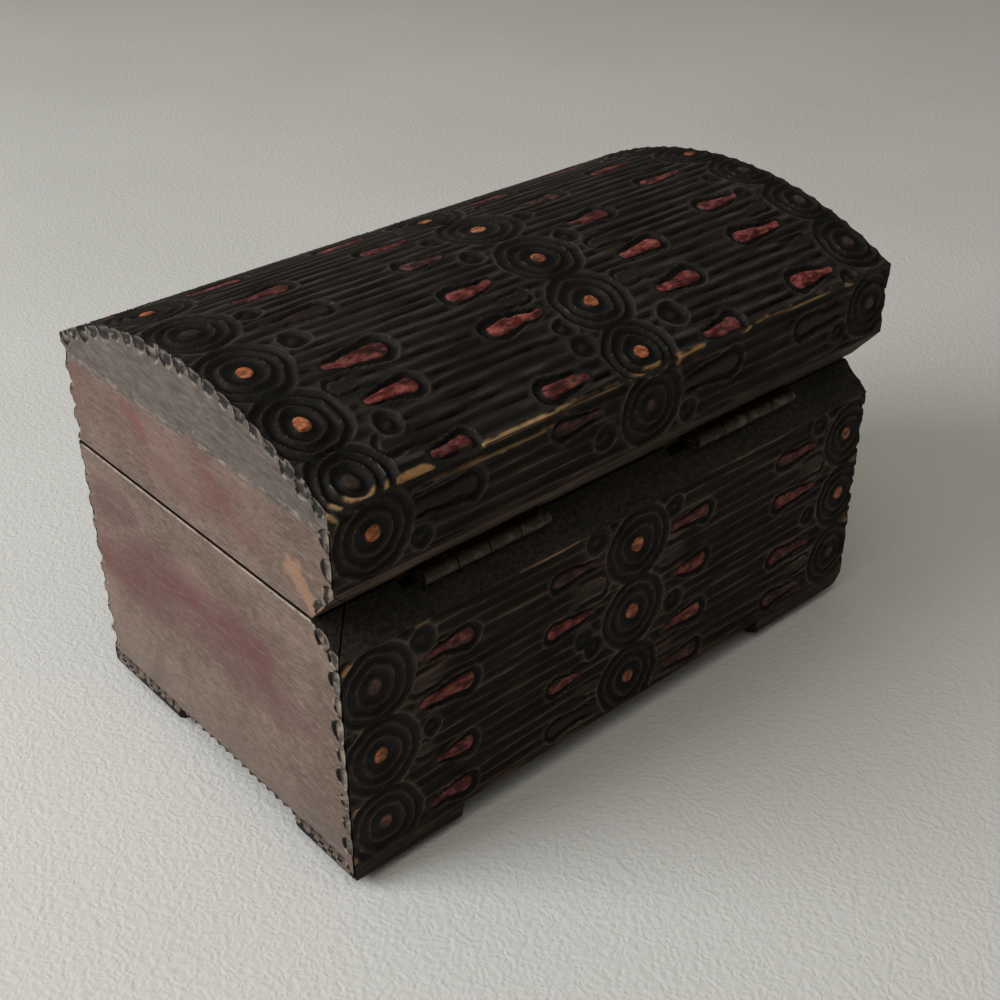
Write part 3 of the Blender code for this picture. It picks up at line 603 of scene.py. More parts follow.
def carve_tree(nearest):
    """Cuts rosettes, drops, tongues, rings and flutes in a skin, and notes paint, wear and the crests that
    get a painted sheen.
    """
    sizes = [("Ring Depth", 0.92), ("Drop Depth", 0.95), ("Tongue Depth", 0.7), ("Small Ring Depth", 0.8),
             ("Reed Depth", 1.0), ("Scoop Depth", 0.85), ("Drift", 1.1), ("Plain Depth", 0.13),
             ("Hand Wobble", 2.2), ("Fibre Depth", 0.035), ("Surface Inset", 0.05)]
    tree = new_tree("carve", "GeometryNodeTree",
                    [("Geometry", GEOMETRY, None), ("Rosettes", OBJECT, None), ("Drops", OBJECT, None),
                     ("Tongues", OBJECT, None), ("Rings", OBJECT, None), ("Worn Places", OBJECT, None),
                     ("Material", MATERIAL, None),
                     *[(label, FLOAT, size) for label, size in sizes]],
                    [("Geometry", GEOMETRY)])
    b = Bench(tree)
    given = b.given

    chart = b.named("chart", "FLOAT_VECTOR")
    shake = b.scaled(b.vector("SUBTRACT", b.cloud(chart, 0.16)[1], (0.5, 0.5, 0.5)), given["Hand Wobble"])
    here = b.stretch(b.vector("ADD", chart, shake), (1, 1, 0))
    stretched = b.stretch(chart, (0.03, 0.17, 1))
    drift = b.math("SUBTRACT", b.noise(stretched, 1.0, 2.0), 0.5)
    course = b.math("ADD", b.named("course"), b.times(drift, given["Drift"]))
    share = b.math("FRACT", course)
    swing = b.math("ABSOLUTE", b.math("MULTIPLY_ADD", share, 2.0, -1.0))
    square = b.times(swing, swing)
    scoop = b.times(b.math("SUBTRACT", 1.0, square), given["Scoop Depth"])
    round_top = b.math("SQRT", b.math("SUBTRACT", 1.0, b.times(square, 0.97)))
    reed = b.times(b.math("SUBTRACT", 1.0, round_top), given["Reed Depth"])
    reed = b.math("ADD", reed, b.step(b.noise(stretched, 4.0), 0.3, 0.7, 0.02, 0.14))
    ground = b.mix(b.named("reed"), scoop, reed)
    uneven = b.noise(b.stretch(chart, (0.05, 0.35, 1)), 1.0, 2.0)
    ground = b.times(ground, b.ramp(uneven, 0.3, 0.7, 0.75, 1.1))

    def marks(label):
        return b.group(nearest, {"Marks": b.brought(given[label]), "Place": here})

    rosette, drop = marks("Rosettes"), marks("Drops")
    tongue, ring, worn = marks("Tongues"), marks("Rings"), marks("Worn Places")
    clear = b.step(rosette["Ratio"], 8.6, 10.6)
    depth = b.mix(clear, given["Plain Depth"], ground)
    closing = b.math("SUBTRACT", 1.0, b.step(tongue["Share"], 0.35, 1.0))
    cut = b.times(b.curve(tongue["Ratio"], 2.2, TONGUE_CUT), given["Tongue Depth"])
    depth = b.mix(b.times(b.step(tongue["Ratio"], 2.4, 1.75), closing), depth, cut)
    cut = b.times(b.curve(drop["Ratio"], 2.4, DROP_CUT), given["Drop Depth"])
    opening = b.step(drop["Along"], -1.6, 2.2, 0.12, 1.0)
    cut = b.mix(opening, given["Plain Depth"], cut)
    depth = b.mix(b.step(drop["Ratio"], 2.75, 1.95), depth, cut)
    cut = b.times(b.curve(ring["Ratio"], 1.3, RING_CUT), given["Small Ring Depth"])
    depth = b.mix(b.step(ring["Ratio"], 1.45, 1.02), depth, cut)
    cut = b.times(b.curve(rosette["Ratio"], 10.0, ROSETTE_CUT), given["Ring Depth"])
    depth = b.mix(b.step(rosette["Ratio"], 10.2, 9.05), depth, cut)
    margin = b.named("margin")
    carved = b.times(depth, margin)
    # Crest mask, which the finish lightens for wear and for a painted sheen highlight.
    ridge = b.times(b.ramp(depth, 0.24, 0.0), b.step(margin, 0.2, 0.9))

    position = b.out("GeometryNodeInputPosition")
    grainy = b.stretch(b.scaled(position, 1000.0), (0.25, 1.0, 2.6))
    fibre = b.times(b.noise(grainy, 0.9, 3.0), given["Fibre Depth"])
    total = b.math("ADD", b.math("ADD", carved, fibre), given["Surface Inset"])
    push = b.scaled(b.named("outward", "FLOAT_VECTOR"), b.times(total, -MM))
    shape = b.out("GeometryNodeSetPosition", {"Geometry": given["Geometry"], "Offset": push})

    dot = b.ramp(rosette["Ratio"], 2.15, 1.0)
    pad = b.times(b.ramp(drop["Ratio"], 1.35, 0.6), b.step(rosette["Ratio"], 9.0, 9.6))
    paint = b.times(b.math("MAXIMUM", dot, pad), b.step(margin, 0.0, 0.4))
    on_dot = b.math("GREATER_THAN", dot, pad)
    tint = b.mix_vector(on_dot, drop["Tint"], rosette["Tint"])
    fade = b.mix(on_dot, drop["Strength"], rosette["Strength"])
    rub = b.noise(b.stretch(chart, (0.5, 1, 1)), 0.7, 3.0)
    reach = b.math("ADD", worn["Ratio"], b.math("MULTIPLY_ADD", rub, 1.6, -0.8))
    bare = b.times(b.step(reach, 1.25, 0.75), worn["Strength"])
    bare = b.times(bare, b.step(depth, 0.55, 0.2))
    tone = b.times(b.named("tone"), b.step(rosette["Ratio"], 8.8, 10.4, 0.62, 1.0))
    tone = b.times(tone, b.step(ring["Ratio"], 1.0, 1.3, 0.25, 1.0))
    tone = b.times(tone, b.step(drop["Ratio"], 1.8, 2.3, 0.35, 1.0))
    for label, value, kind in (("depth", carved, "FLOAT"), ("tone", tone, "FLOAT"), ("ridge", ridge, "FLOAT"),
                               ("paint", paint, "FLOAT"), ("fade", fade, "FLOAT"), ("bare", bare, "FLOAT"),
                               ("tint", tint, "FLOAT_VECTOR")):
        shape = b.store(shape, label, value, kind)
    shape = b.out("GeometryNodeRealizeInstances", (shape,))
    shape = b.coat(shape, given["Material"])
    b.finish({"Geometry": shape})
    return tree


# Above this a face is a gouge's cut, and above this share of a unit it faces along X
CHIP_MARK, SQUARE_ON = 0.2, 0.9


def chip_tree():
    """Scoops gouge chips out of the edges of a block, at points that say which way each one lies."""
    tree = new_tree("chip_edges", "GeometryNodeTree",
                    [("Geometry", GEOMETRY, None), ("Chips", OBJECT, None), ("Segments", INTEGER, 16),
                     ("Rings", INTEGER, 9), ("Unevenness", FLOAT, 0.16), ("Seed", INTEGER, 4),
                     ("Material", MATERIAL, None)],
                    [("Geometry", GEOMETRY)])
    b = Bench(tree)
    given = b.given
    shape = given["Geometry"]
    points = b.brought(given["Chips"])
    gouge = b.out("GeometryNodeMeshUVSphere",
                  {"Segments": given["Segments"], "Rings": given["Rings"], "Radius": 1.0})
    gouge = b.out("GeometryNodeSetShadeSmooth", (gouge,))
    ways = b.named("along", "FLOAT_VECTOR"), b.named("onto", "FLOAT_VECTOR")
    turn = b.out("FunctionNodeAxesToRotation", ways, primary_axis="Z", secondary_axis="Y")
    low = b.math("SUBTRACT", 1.0, given["Unevenness"])
    high = b.math("ADD", 1.0, given["Unevenness"])
    vary = b.add("FunctionNodeRandomValue", {2: low, 3: high, "Seed": given["Seed"]}, data_type="FLOAT")
    size = b.scaled(b.named("size", "FLOAT_VECTOR"), vary.outputs[1])
    index = b.out("GeometryNodeInputIndex")
    for parity in (0.0, 1.0):
        turn_now = b.math("COMPARE", b.math("MODULO", index, 2.0), parity, 0.1)
        values = {"Points": points, "Selection": turn_now, "Instance": gouge, "Rotation": turn, "Scale": size}
        placed = b.out("GeometryNodeRealizeInstances", (b.out("GeometryNodeInstanceOnPoints", values),))
        shape = b.combine("DIFFERENCE", [placed], shape)
    inside = b.math("GREATER_THAN", b.named("chip"), CHIP_MARK)
    by_point = b.over("POINT", b.over("FACE", inside))
    facing = b.split(b.out("GeometryNodeInputNormal"))[0]
    end_face = b.times(b.math("GREATER_THAN", b.math("ABSOLUTE", facing), SQUARE_ON),
                       b.math("SUBTRACT", 1.0, inside))
    end_point = b.over("POINT", b.over("FACE", end_face))
    rim = b.math("MINIMUM", b.times(b.times(by_point, end_point), 4.0), 1.0)
    shape = b.store(shape, "rim", rim)
    shape = b.out("GeometryNodeRealizeInstances", (shape,))
    shape = b.coat(shape, given["Material"])
    b.finish({"Geometry": shape})
    return tree


# Vertices closer than this are one, and an edge folded more than this is crisp
WELD, FOLD = 0.000005, math.radians(62)
# How squarely a cut face, and the skin around it, face along X where the end is
END_FACING, END_OUTWARD = 0.72, 0.3


def board_tree():
    """Cuts one board out of the carved block with the plain board's own solid."""
    tree = new_tree("cut_board", "GeometryNodeTree",
                    [("Geometry", GEOMETRY, None), ("Board", OBJECT, None), ("Seam Height", FLOAT, SEAM * MM),
                     ("Seam Reach", FLOAT, 0.0), ("Plain Block", "NodeSocketBool", False),
                     ("Filler", OBJECT, None), ("Carved Face", MATERIAL, None), ("End Face", MATERIAL, None),
                     ("Plain Face", MATERIAL, None)],
                    [("Geometry", GEOMETRY)])
    b = Bench(tree)
    given = b.given
    board = b.add("GeometryNodeMergeByDistance",
                  {"Geometry": b.brought(given["Board"]), "Distance": WELD}).outputs[0]
    whole = b.combine("UNION", [board, b.brought(given["Filler"])])
    room = b.out("GeometryNodeBoundBox", (board,))
    board = b.out("GeometryNodeSwitch", {0: given["Plain Block"], 1: whole, 2: room}, input_type="GEOMETRY")
    spot = b.split(b.out("GeometryNodeInputPosition"))
    off = b.math("SUBTRACT", given["Seam Height"], spot[2])
    near = b.math("LESS_THAN", b.math("ABSOLUTE", off), given["Seam Reach"])
    lift = b.add("ShaderNodeCombineXYZ", {2: off}).outputs[0]
    board = b.out("GeometryNodeSetPosition", {"Geometry": board, "Selection": near, "Offset": lift})
    block = b.store(given["Geometry"], "outer", True, "BOOLEAN", "FACE")
    shape = b.out("GeometryNodeRealizeInstances", (b.combine("INTERSECT", [board, block]),))
    facing = b.split(b.out("GeometryNodeInputNormal"))[0]
    chipped = b.math("GREATER_THAN", b.named("chip"), CHIP_MARK)
    outward = b.over("FACE", b.split(b.named("outward", "FLOAT_VECTOR"))[0])
    end_face = b.times(b.math("GREATER_THAN", b.math("ABSOLUTE", facing), END_FACING),
                       b.math("GREATER_THAN", b.math("ABSOLUTE", outward), END_OUTWARD))
    at_end = b.math("MAXIMUM", end_face, chipped)
    outer = b.named("outer", "BOOLEAN")
    ends = b.times(outer, at_end)
    shape = b.coat(shape, given["Plain Face"])
    shape = b.coat(shape, given["Carved Face"], outer)
    shape = b.coat(shape, given["End Face"], ends)
    shape = b.out("GeometryNodeSetShadeSmooth", {"Geometry": shape, "Shade Smooth": outer}, domain="FACE")
    kind = b.math("MULTIPLY_ADD", chipped, 5.0, b.out("GeometryNodeInputMaterialIndex"))
    kind = b.over("FACE", kind)
    mean = b.over("EDGE", kind)
    square = b.over("EDGE", b.times(kind, kind))
    joint = b.math("GREATER_THAN", b.math("SUBTRACT", square, b.times(mean, mean)), 0.01)
    fold = b.math("GREATER_THAN", b.out("GeometryNodeInputMeshEdgeAngle"), FOLD)
    crisp = b.math("MAXIMUM", joint, fold)
    values = {"Geometry": shape, "Selection": crisp, "Shade Smooth": False}
    shape = b.out("GeometryNodeSetShadeSmooth", values, domain="EDGE")
    shape = b.out("GeometryNodeRealizeInstances", (shape,))
    shape = b.coat(shape, given["End Face"], ends)
    b.finish({"Geometry": shape})
    return tree


# Edge chips: where each gouge stood, which way its cut runs and how big it is

def chip_points(name, faces):
    points, along, onto, size, shade = [], [], [], [], []
    for x, sign, cuts in faces:
        for (y, z), (run_y, run_z), (in_y, in_z), (deep, wide, long, tone), lift in cuts:
            deep *= 1.0 if sign > 0 else FAR_END
            points.append(((x + sign * deep * lift) * MM, (y - in_y * 0.3) * MM, (z - in_z * 0.3) * MM))
            along.append((0, run_y, run_z))
            onto.append((0, in_y, in_z))
            size.append((deep * MM, wide * MM, long * MM))
            shade.append(tone)
    mesh = bpy.data.meshes.new(name)
    mesh.from_pydata(points, [], [])
    for label, rows in (("along", along), ("onto", onto), ("size", size)):
        layer = mesh.attributes.new(label, "FLOAT_VECTOR", "POINT")
        layer.data.foreach_set("vector", np.array(rows, np.float32).ravel())
    layer = mesh.attributes.new("chip", "FLOAT", "POINT")
    layer.data.foreach_set("value", np.array(shade, np.float32))
    return place(name, mesh)


# Half sizes of a gouge: into the end, across the edge and along it, then how dark its cut is
BIG_CHIP = (1.45, 4.0, 2.95, 0.8)
FRONT_CHIP = (1.05, 3.2, 2.5, 0.8)
ARCH_CHIP = (1.4, 3.9, 2.6, 1.0)
LIP_CHIP = (1.4, 3.0, 2.5, 0.8)
SMALL_CHIP = (0.8, 1.5, 1.5, 0.42)
LIFT, FAR_END = 0.40, 0.5


def upright_chips(y, inwards, heights, size):
    return [((y, z), (0, 1), (inwards, 0), size, LIFT) for z in heights]


def slope_chips(start, end, inwards, shares):
    run = ((end[0] - start[0]), (end[1] - start[1]))
    length = math.hypot(*run)
    run = (run[0] / length, run[1] / length)
    return [((start[0] + (end[0] - start[0]) * s, start[1] + (end[1] - start[1]) * s), run, inwards,
             LIP_CHIP, LIFT) for s in shares]


def arch_chips(count):
    cuts = []
    for number in range(count):
        angle = (-HALF_ARC + (number + 0.5) * 2 * HALF_ARC / count) / DOME_RADIUS
        spot = (DOME_RADIUS * math.sin(angle), DOME_CENTRE + DOME_RADIUS * math.cos(angle))
        run, inwards = (math.cos(angle), -math.sin(angle)), (-math.sin(angle), -math.cos(angle))
        cuts.append((spot, run, inwards, ARCH_CHIP, LIFT))
    return cuts


def make_chips():
    groove = BACK - 7.0
    body = upright_chips(BACK, -1, (51, 45.5, 39.6, 33.8, 28.4, 22.7, 17, 11.2), BIG_CHIP)
    body += upright_chips(FRONT, 1, np.arange(9.5, 60, 5.7), FRONT_CHIP)
    body += slope_chips((BACK, BODY_LIP), (groove, BODY_TOP), (-0.625, -0.781), (0.12, 0.62))
    low_row = np.arange(FRONT + 2.2, BACK - 1, 3.05)
    body += [((y, FOOT_TOP + 0.1), (1, 0), (0, 1), SMALL_CHIP, 0.25) for y in low_row]
    lid = arch_chips(20)
    lid += upright_chips(BACK, -1, (81.2, 75.2), BIG_CHIP)
    lid += slope_chips((BACK, LID_LIP), (groove, LID_BOTTOM), (-0.761, 0.649), (0.1, 0.62))
    lid += upright_chips(FRONT, 1, (64.6, 70.3, 76.0, 81.7), FRONT_CHIP)
    return (chip_points("body_chips", [(BODY_RIGHT, 1, body), (BODY_LEFT, -1, body)]),
            chip_points("lid_chips", [(LID_RIGHT, 1, lid), (LID_LEFT, -1, lid)]))


# Finishes

def principled(name):
    material = bpy.data.materials.new(name)
    material.use_nodes = True
    b = Bench(material.node_tree)
    return material, b, material.node_tree.nodes["Principled BSDF"]


def attribute(b, name, output="Fac"):
    return b.add("ShaderNodeAttribute", attribute_name=name).outputs[output]


def object_place(b):
    return b.add("ShaderNodeTexCoord").outputs["Object"]


# Places that the finishes know, in metres
BODY_MIDDLE = (BODY_RIGHT + BODY_LEFT) / 2 * MM
BODY_HALF = (BODY_RIGHT - BODY_LEFT) / 2 * MM
GROOVE_FACE = (BACK - 9.0) * MM
SEAM_PLACE, RIM_PLACE = (SEAM + 0.5) * MM, (BODY_TOP - 0.2) * MM
LID_JOINT = 0.0616


def grain_group():
    """Wood grain along X in object space: a streak mask, a pore mask and a height."""
    tree = new_tree("wood_grain", "ShaderNodeTree",
                    [("Along", VECTOR, (60.0, 900.0, 900.0)), ("Streak Size", FLOAT, 1.0)],
                    [("Streaks", FLOAT), ("Pores", FLOAT), ("Height", FLOAT)])
    b = Bench(tree)
    place_in = object_place(b)
    bent = b.vector("ADD", place_in, b.scaled(b.cloud(place_in, 40.0, 1.0)[1], 0.0025))
    streaks = b.noise(b.stretch(bent, b.given["Along"]), b.given["Streak Size"], 5.0, 0.62)
    fine = b.noise(b.stretch(bent, b.stretch(b.given["Along"], (3.0, 3.0, 3.0))),
                   b.given["Streak Size"], 3.0, 0.6)
    pores = b.step(fine, 0.42, 0.28)
    height = b.math("SUBTRACT", streaks, b.times(pores, 0.5))
    b.finish({"Streaks": streaks, "Pores": pores, "Height": height})
    return tree


def carved_finish(grain):
    material, b, shader = principled("carved_dark_wood")
    place_in = object_place(b)
    wood = b.group(grain, {"Along": (70.0, 900.0, 900.0), "Streak Size": 0.9})
    tone, depth = attribute(b, "tone"), attribute(b, "depth")
    blotch = b.noise(place_in, 55.0, 3.0, 0.6)
    black = b.mix_colour(b.step(blotch, 0.35, 0.7), (0.0060, 0.0050, 0.0042), (0.0125, 0.0102, 0.0085))
    brown = b.mix_colour(b.step(blotch, 0.4, 0.65), (0.0095, 0.0066, 0.0048), (0.021, 0.0125, 0.0082))
    base = b.mix_colour(tone, black, brown)
    streak = b.step(wood["Streaks"], 0.42, 0.66)
    # Grain streaks fade out in the cuts, so the cuts stay darker: painted shade in the recesses.
    streak = b.times(streak, b.step(depth, 0.62, 0.10, 0.30, 1.0))
    base = b.mix_colour(b.times(streak, b.math("MULTIPLY_ADD", tone, 0.72, 0.08)),
                        base, (0.078, 0.050, 0.033))
    along_grain = b.stretch(place_in, (0.3, 1.0, 1.0))
    # Crests get a lighter colour: partly rubbed wear, partly a painted sheen highlight on the ridges.
    rubbed = b.times(b.step(attribute(b, "ridge"), 0.25, 0.95),
                     b.step(b.noise(along_grain, 190.0, 3.0, 0.6), 0.30, 0.68, 0.15, 1.0))
    worn_and_sheen_ridge = b.mix_colour(tone, (0.062, 0.054, 0.045), (0.17, 0.122, 0.084))
    base = b.mix_colour(b.times(rubbed, 0.72), base, worn_and_sheen_ridge)
    dust = b.step(b.noise(place_in, 2300.0, 2.0, 0.6), 0.70, 0.78, 0.0, 0.5)
    base = b.mix_colour(dust, base, (0.16, 0.145, 0.125))
    # Deeper cuts darken towards near black: painted shade in the recesses.
    base = b.mix_colour(b.step(depth, 0.25, 0.85, 0.0, 0.8), base, (0.0032, 0.0027, 0.0023))
    spot = b.split(place_in)
    off_centre = b.apart(spot[0], BODY_MIDDLE)
    mitre = b.step(off_centre, BODY_HALF - 0.0008, BODY_HALF - 0.0005)
    mitre = b.times(mitre, b.math("LESS_THAN", spot[2], LID_JOINT))
    base = b.mix_colour(mitre, base, (0.0025, 0.002, 0.0018))
    paint_wear = b.noise(b.stretch(place_in, (300.0, 900.0, 900.0)), 1.0, 4.0, 0.7)
    patches = b.noise(b.stretch(place_in, (330.0, 620.0, 620.0)), 1.0, 3.0, 0.65)
    kept = b.times(b.step(attribute(b, "paint"), 0.38, 0.60), attribute(b, "fade"))
    kept = b.times(kept, b.step(paint_wear, 0.34, 0.54, 0.15, 1.0))
    kept = b.times(kept, b.step(patches, 0.36, 0.52, 0.35, 1.0))
    tint = attribute(b, "tint", "Color")
    dirty = b.mix_colour(1.0, tint, (0.55, 0.5, 0.55), "MULTIPLY")
    tint = b.mix_colour(b.step(patches, 0.42, 0.68), dirty, b.mix_colour(0.10, tint, (0.75, 0.5, 0.45)))
    base = b.mix_colour(kept, base, tint)
    bare = b.times(attribute(b, "bare"), b.step(wood["Streaks"], 0.30, 0.45, 0.5, 1.0))
    wood_colour = b.mix_colour(b.step(blotch, 0.35, 0.65), (0.23, 0.120, 0.048), (0.43, 0.27, 0.130))
    base = b.mix_colour(bare, base, wood_colour)
    rough = b.mix(rubbed, b.step(wood["Streaks"], 0.3, 0.7, 0.42, 0.60), 0.30)
    rough = b.mix(b.math("MAXIMUM", kept, bare), rough, 0.62)
    b.fill(shader, {"Base Color": base, "Roughness": rough, "Specular IOR Level": 0.13,
                    "Normal": b.bump(wood["Height"], 0.35, 0.00025)})
    return material


def end_finish(grain):
    material, b, shader = principled("stained_end_wood")
    place_in = object_place(b)
    wood = b.group(grain, {"Along": (900.0, 75.0, 900.0), "Streak Size": 1.0})
    blotch = b.noise(place_in, 38.0, 3.0, 0.6)
    spot = b.split(place_in)
    base = b.mix_colour(b.step(blotch, 0.35, 0.68), (0.110, 0.066, 0.050), (0.198, 0.131, 0.099))
    tilted = b.out("ShaderNodeVectorRotate", {"Vector": place_in, "Angle": 0.10}, rotation_type="X_AXIS")
    speck = b.noise(b.stretch(tilted, (1.0, 0.16, 1.0)), 3400.0, 3.0, 0.7)
    mottle = b.noise(b.stretch(tilted, (1.0, 0.30, 1.0)), 900.0, 4.0, 0.68)
    base = b.mix_colour(b.step(speck, 0.46, 0.66, 0.0, 0.42), base, (0.30, 0.235, 0.185))
    base = b.mix_colour(b.step(speck, 0.50, 0.34, 0.0, 0.42), base, (0.058, 0.040, 0.033))
    base = b.mix_colour(b.step(mottle, 0.52, 0.70, 0.0, 0.40), base, (0.27, 0.20, 0.155))
    base = b.mix_colour(b.step(mottle, 0.48, 0.30, 0.0, 0.42), base, (0.070, 0.044, 0.036))
    uneven_up = b.math("MULTIPLY_ADD", blotch, 0.001, spot[2])
    top_zone = b.step(uneven_up, SEAM * MM - 0.0002, SEAM * MM + 0.0006)
    top_wood = b.mix_colour(b.step(mottle, 0.30, 0.72), (0.046, 0.040, 0.036), (0.118, 0.104, 0.092))
    base = b.mix_colour(b.times(top_zone, 0.78), base, top_wood)
    smear = b.noise(b.stretch(place_in, (20.0, 22.0, 60.0)), 1.0, 3.0, 0.6)
    level = b.math("ADD", spot[2], b.math("MULTIPLY_ADD", smear, 0.016, -0.008))
    band = b.times(b.step(level, 0.024, 0.036), b.step(level, 0.052, 0.044))
    lid_band = b.times(b.step(level, 0.064, 0.070), b.step(level, 0.084, 0.078))
    stain = b.math("ADD", b.times(band, 0.9), b.times(lid_band, 0.5))
    stain = b.times(stain, b.step(b.math("MULTIPLY_ADD", smear, 0.012, spot[1]), 0.036, 0.026))
    stain = b.times(stain, b.step(smear, 0.36, 0.56, 0.2, 1.0))
    stain = b.times(stain, b.step(mottle, 0.30, 0.62, 0.55, 1.0))
    base = b.mix_colour(stain, base, (0.118, 0.033, 0.037))
    low_dust = b.step(b.math("ADD", spot[2], b.times(blotch, 0.012)), 0.030, 0.012, 0.0, 0.45)
    base = b.mix_colour(low_dust, base, (0.120, 0.095, 0.084))
    near_end = b.math("GREATER_THAN", spot[0], 0.0)
    ragged = b.cloud(place_in, 130.0, 4.0, 0.6)[1]
    flat = b.split(b.vector("ADD", place_in, b.scaled(ragged, 0.012)))

    def patch(y, z, half_y, half_z, lean=0.0):
        """A ragged patch on the near end, leaning by so much along Y for each step up."""
        up = b.math("SUBTRACT", flat[2], (z + 6) * MM)
        across = b.math("SUBTRACT", b.math("SUBTRACT", flat[1], (y + 6) * MM), b.times(up, lean))
        across = b.math("DIVIDE", across, half_y * MM)
        up = b.math("DIVIDE", up, half_z * MM)
        away = b.math("ADD", b.times(across, across), b.times(up, up))
        return b.times(b.step(away, 1.5, 0.3), near_end)

    for y, z, half_y, half_z, lean, strength, colour in (
            (36.0, 68.0, 3.6, 5.0, -0.5, 0.55, (0.38, 0.20, 0.110)),
            (-18.0, 77.5, 3.5, 3.6, -1.2, 0.6, (0.17, 0.040, 0.038)),
            (9.0, 76.0, 4.0, 7.5, -0.9, 0.40, (0.165, 0.050, 0.046)),
            (-4.0, 69.0, 16.0, 3.0, 0.2, 0.22, (0.15, 0.055, 0.050)),
            (-33.0, 51.0, 9.0, 5.0, 0.0, 0.45, (0.10, 0.032, 0.042)),
            (20.0, 33.0, 18.0, 5.0, 0.0, 0.35, (0.10, 0.034, 0.042))):
        base = b.mix_colour(b.times(patch(y, z, half_y, half_z, lean), strength), base, colour)
    scuff = b.noise(b.stretch(place_in, (1.0, 0.5, 1.0)), 700.0, 3.0, 0.75)
    seam_wear = b.step(b.apart(spot[2], SEAM_PLACE), 0.0009, 0.0003)
    seam_wear = b.times(seam_wear, b.step(scuff, 0.44, 0.66, 0.0, 0.45))
    rim_wear = b.step(b.apart(spot[2], RIM_PLACE), 0.0006, 0.0002)
    rim_wear = b.times(rim_wear, b.step(scuff, 0.40, 0.56, 0.15, 0.9))
    scratch = b.times(b.step(scuff, 0.70, 0.74), 0.6)
    foot_wear = b.times(b.step(spot[2], 0.0016, 0.0005), b.step(scuff, 0.38, 0.60, 0.0, 0.7))
    pale = b.math("MAXIMUM", b.math("MAXIMUM", seam_wear, rim_wear), b.math("MAXIMUM", scratch, foot_wear))
    base = b.mix_colour(pale, base, (0.40, 0.33, 0.27))
    base = b.mix_colour(b.step(wood["Streaks"], 0.5, 0.75, 0.0, 0.35), base, (0.26, 0.21, 0.17))
    base = b.mix_colour(b.times(wood["Pores"], 0.45), base, (0.045, 0.034, 0.028))
    chip = attribute(b, "chip")
    glint = b.noise(b.stretch(place_in, (1.0, 1.0, 0.6)), 620.0, 3.0, 0.65)
    nick = b.mix_colour(b.step(glint, 0.50, 0.70), (0.028, 0.022, 0.018), (0.26, 0.205, 0.160))
    dark_nick = b.mix_colour(b.step(glint, 0.52, 0.72), (0.010, 0.0085, 0.0075), (0.14, 0.115, 0.095))
    nick = b.mix_colour(b.step(chip, 0.86, 0.94), nick, dark_nick)
    base = b.mix_colour(b.step(chip, 0.25, 0.6), base, nick)
    # A lighter edge round each chip: partly bare wood at the broken edge, partly a painted highlight.
    rim_wear_and_highlight = b.step(b.noise(place_in, 420.0, 2.0), 0.36, 0.62, 0.1, 0.8)
    rim_wear_and_highlight = b.times(attribute(b, "rim"), rim_wear_and_highlight)
    base = b.mix_colour(rim_wear_and_highlight, base, (0.36, 0.30, 0.24))
    b.fill(shader, {"Base Color": base, "Roughness": b.step(wood["Streaks"], 0.3, 0.7, 0.5, 0.68),
                    "Specular IOR Level": 0.3, "Normal": b.bump(wood["Height"], 0.4, 0.00025)})
    return material


def plain_finish(grain):
    """Inside and underside: bare wood, with the hinge groove stained black below and brown above, and painted
    shade low down and next to the outer boards.
    """
    material, b, shader = principled("bare_inner_wood")
    place_in = object_place(b)
    wood = b.group(grain, {"Along": (60.0, 500.0, 700.0), "Streak Size": 1.0})
    spot = b.split(place_in)
    blotch = b.noise(place_in, 45.0, 3.0, 0.6)
    base = b.mix_colour(b.step(wood["Streaks"], 0.35, 0.7), (0.20, 0.125, 0.070), (0.36, 0.25, 0.155))
    groove = b.step(spot[1], GROOVE_FACE, GROOVE_FACE + 0.0011)
    crumb = b.noise(place_in, 1100.0, 3.0, 0.7)
    crumb = b.step(b.math("MULTIPLY_ADD", crumb, 0.7, b.times(blotch, 0.3)), 0.38, 0.66)
    below = b.mix_colour(crumb, (0.0060, 0.0052, 0.0040), (0.034, 0.028, 0.020))
    above = b.mix_colour(b.step(wood["Streaks"], 0.4, 0.65), (0.040, 0.030, 0.019), (0.120, 0.086, 0.054))
    above = b.mix_colour(b.step(spot[0], 0.045, -0.045, 0.0, 0.75), above, (0.022, 0.016, 0.011))
    stained = b.mix_colour(b.step(spot[2], LID_JOINT - 0.0002, LID_JOINT + 0.0004), below, above)
    base = b.mix_colour(groove, base, stained)
    # Painted shade: the inner wood darkens near the bottom and next to the outer boards.
    low = b.step(spot[2], 0.0066, 0.0058)
    out_x = b.step(b.apart(spot[0], BODY_MIDDLE / 2), 0.0700, 0.0715)
    out_y = b.step(b.math("ABSOLUTE", spot[1]), 0.0405, 0.0420)
    painted_shade = b.math("MAXIMUM", low, b.math("MAXIMUM", out_x, out_y))
    painted_shade = b.times(painted_shade, b.math("SUBTRACT", 1.0, groove))
    base = b.mix_colour(painted_shade, base, (0.010, 0.007, 0.0055))
    rough_cut = b.times(b.noise(place_in, 1500.0, 4.0, 0.65), b.math("MULTIPLY_ADD", groove, 2.4, 0.3))
    height = b.math("ADD", wood["Height"], rough_cut)
    b.fill(shader, {"Base Color": base, "Roughness": b.step(wood["Streaks"], 0.3, 0.7, 0.5, 0.72),
                    "Specular IOR Level": 0.2, "Normal": b.bump(height, 0.5, 0.0003)})
    return material


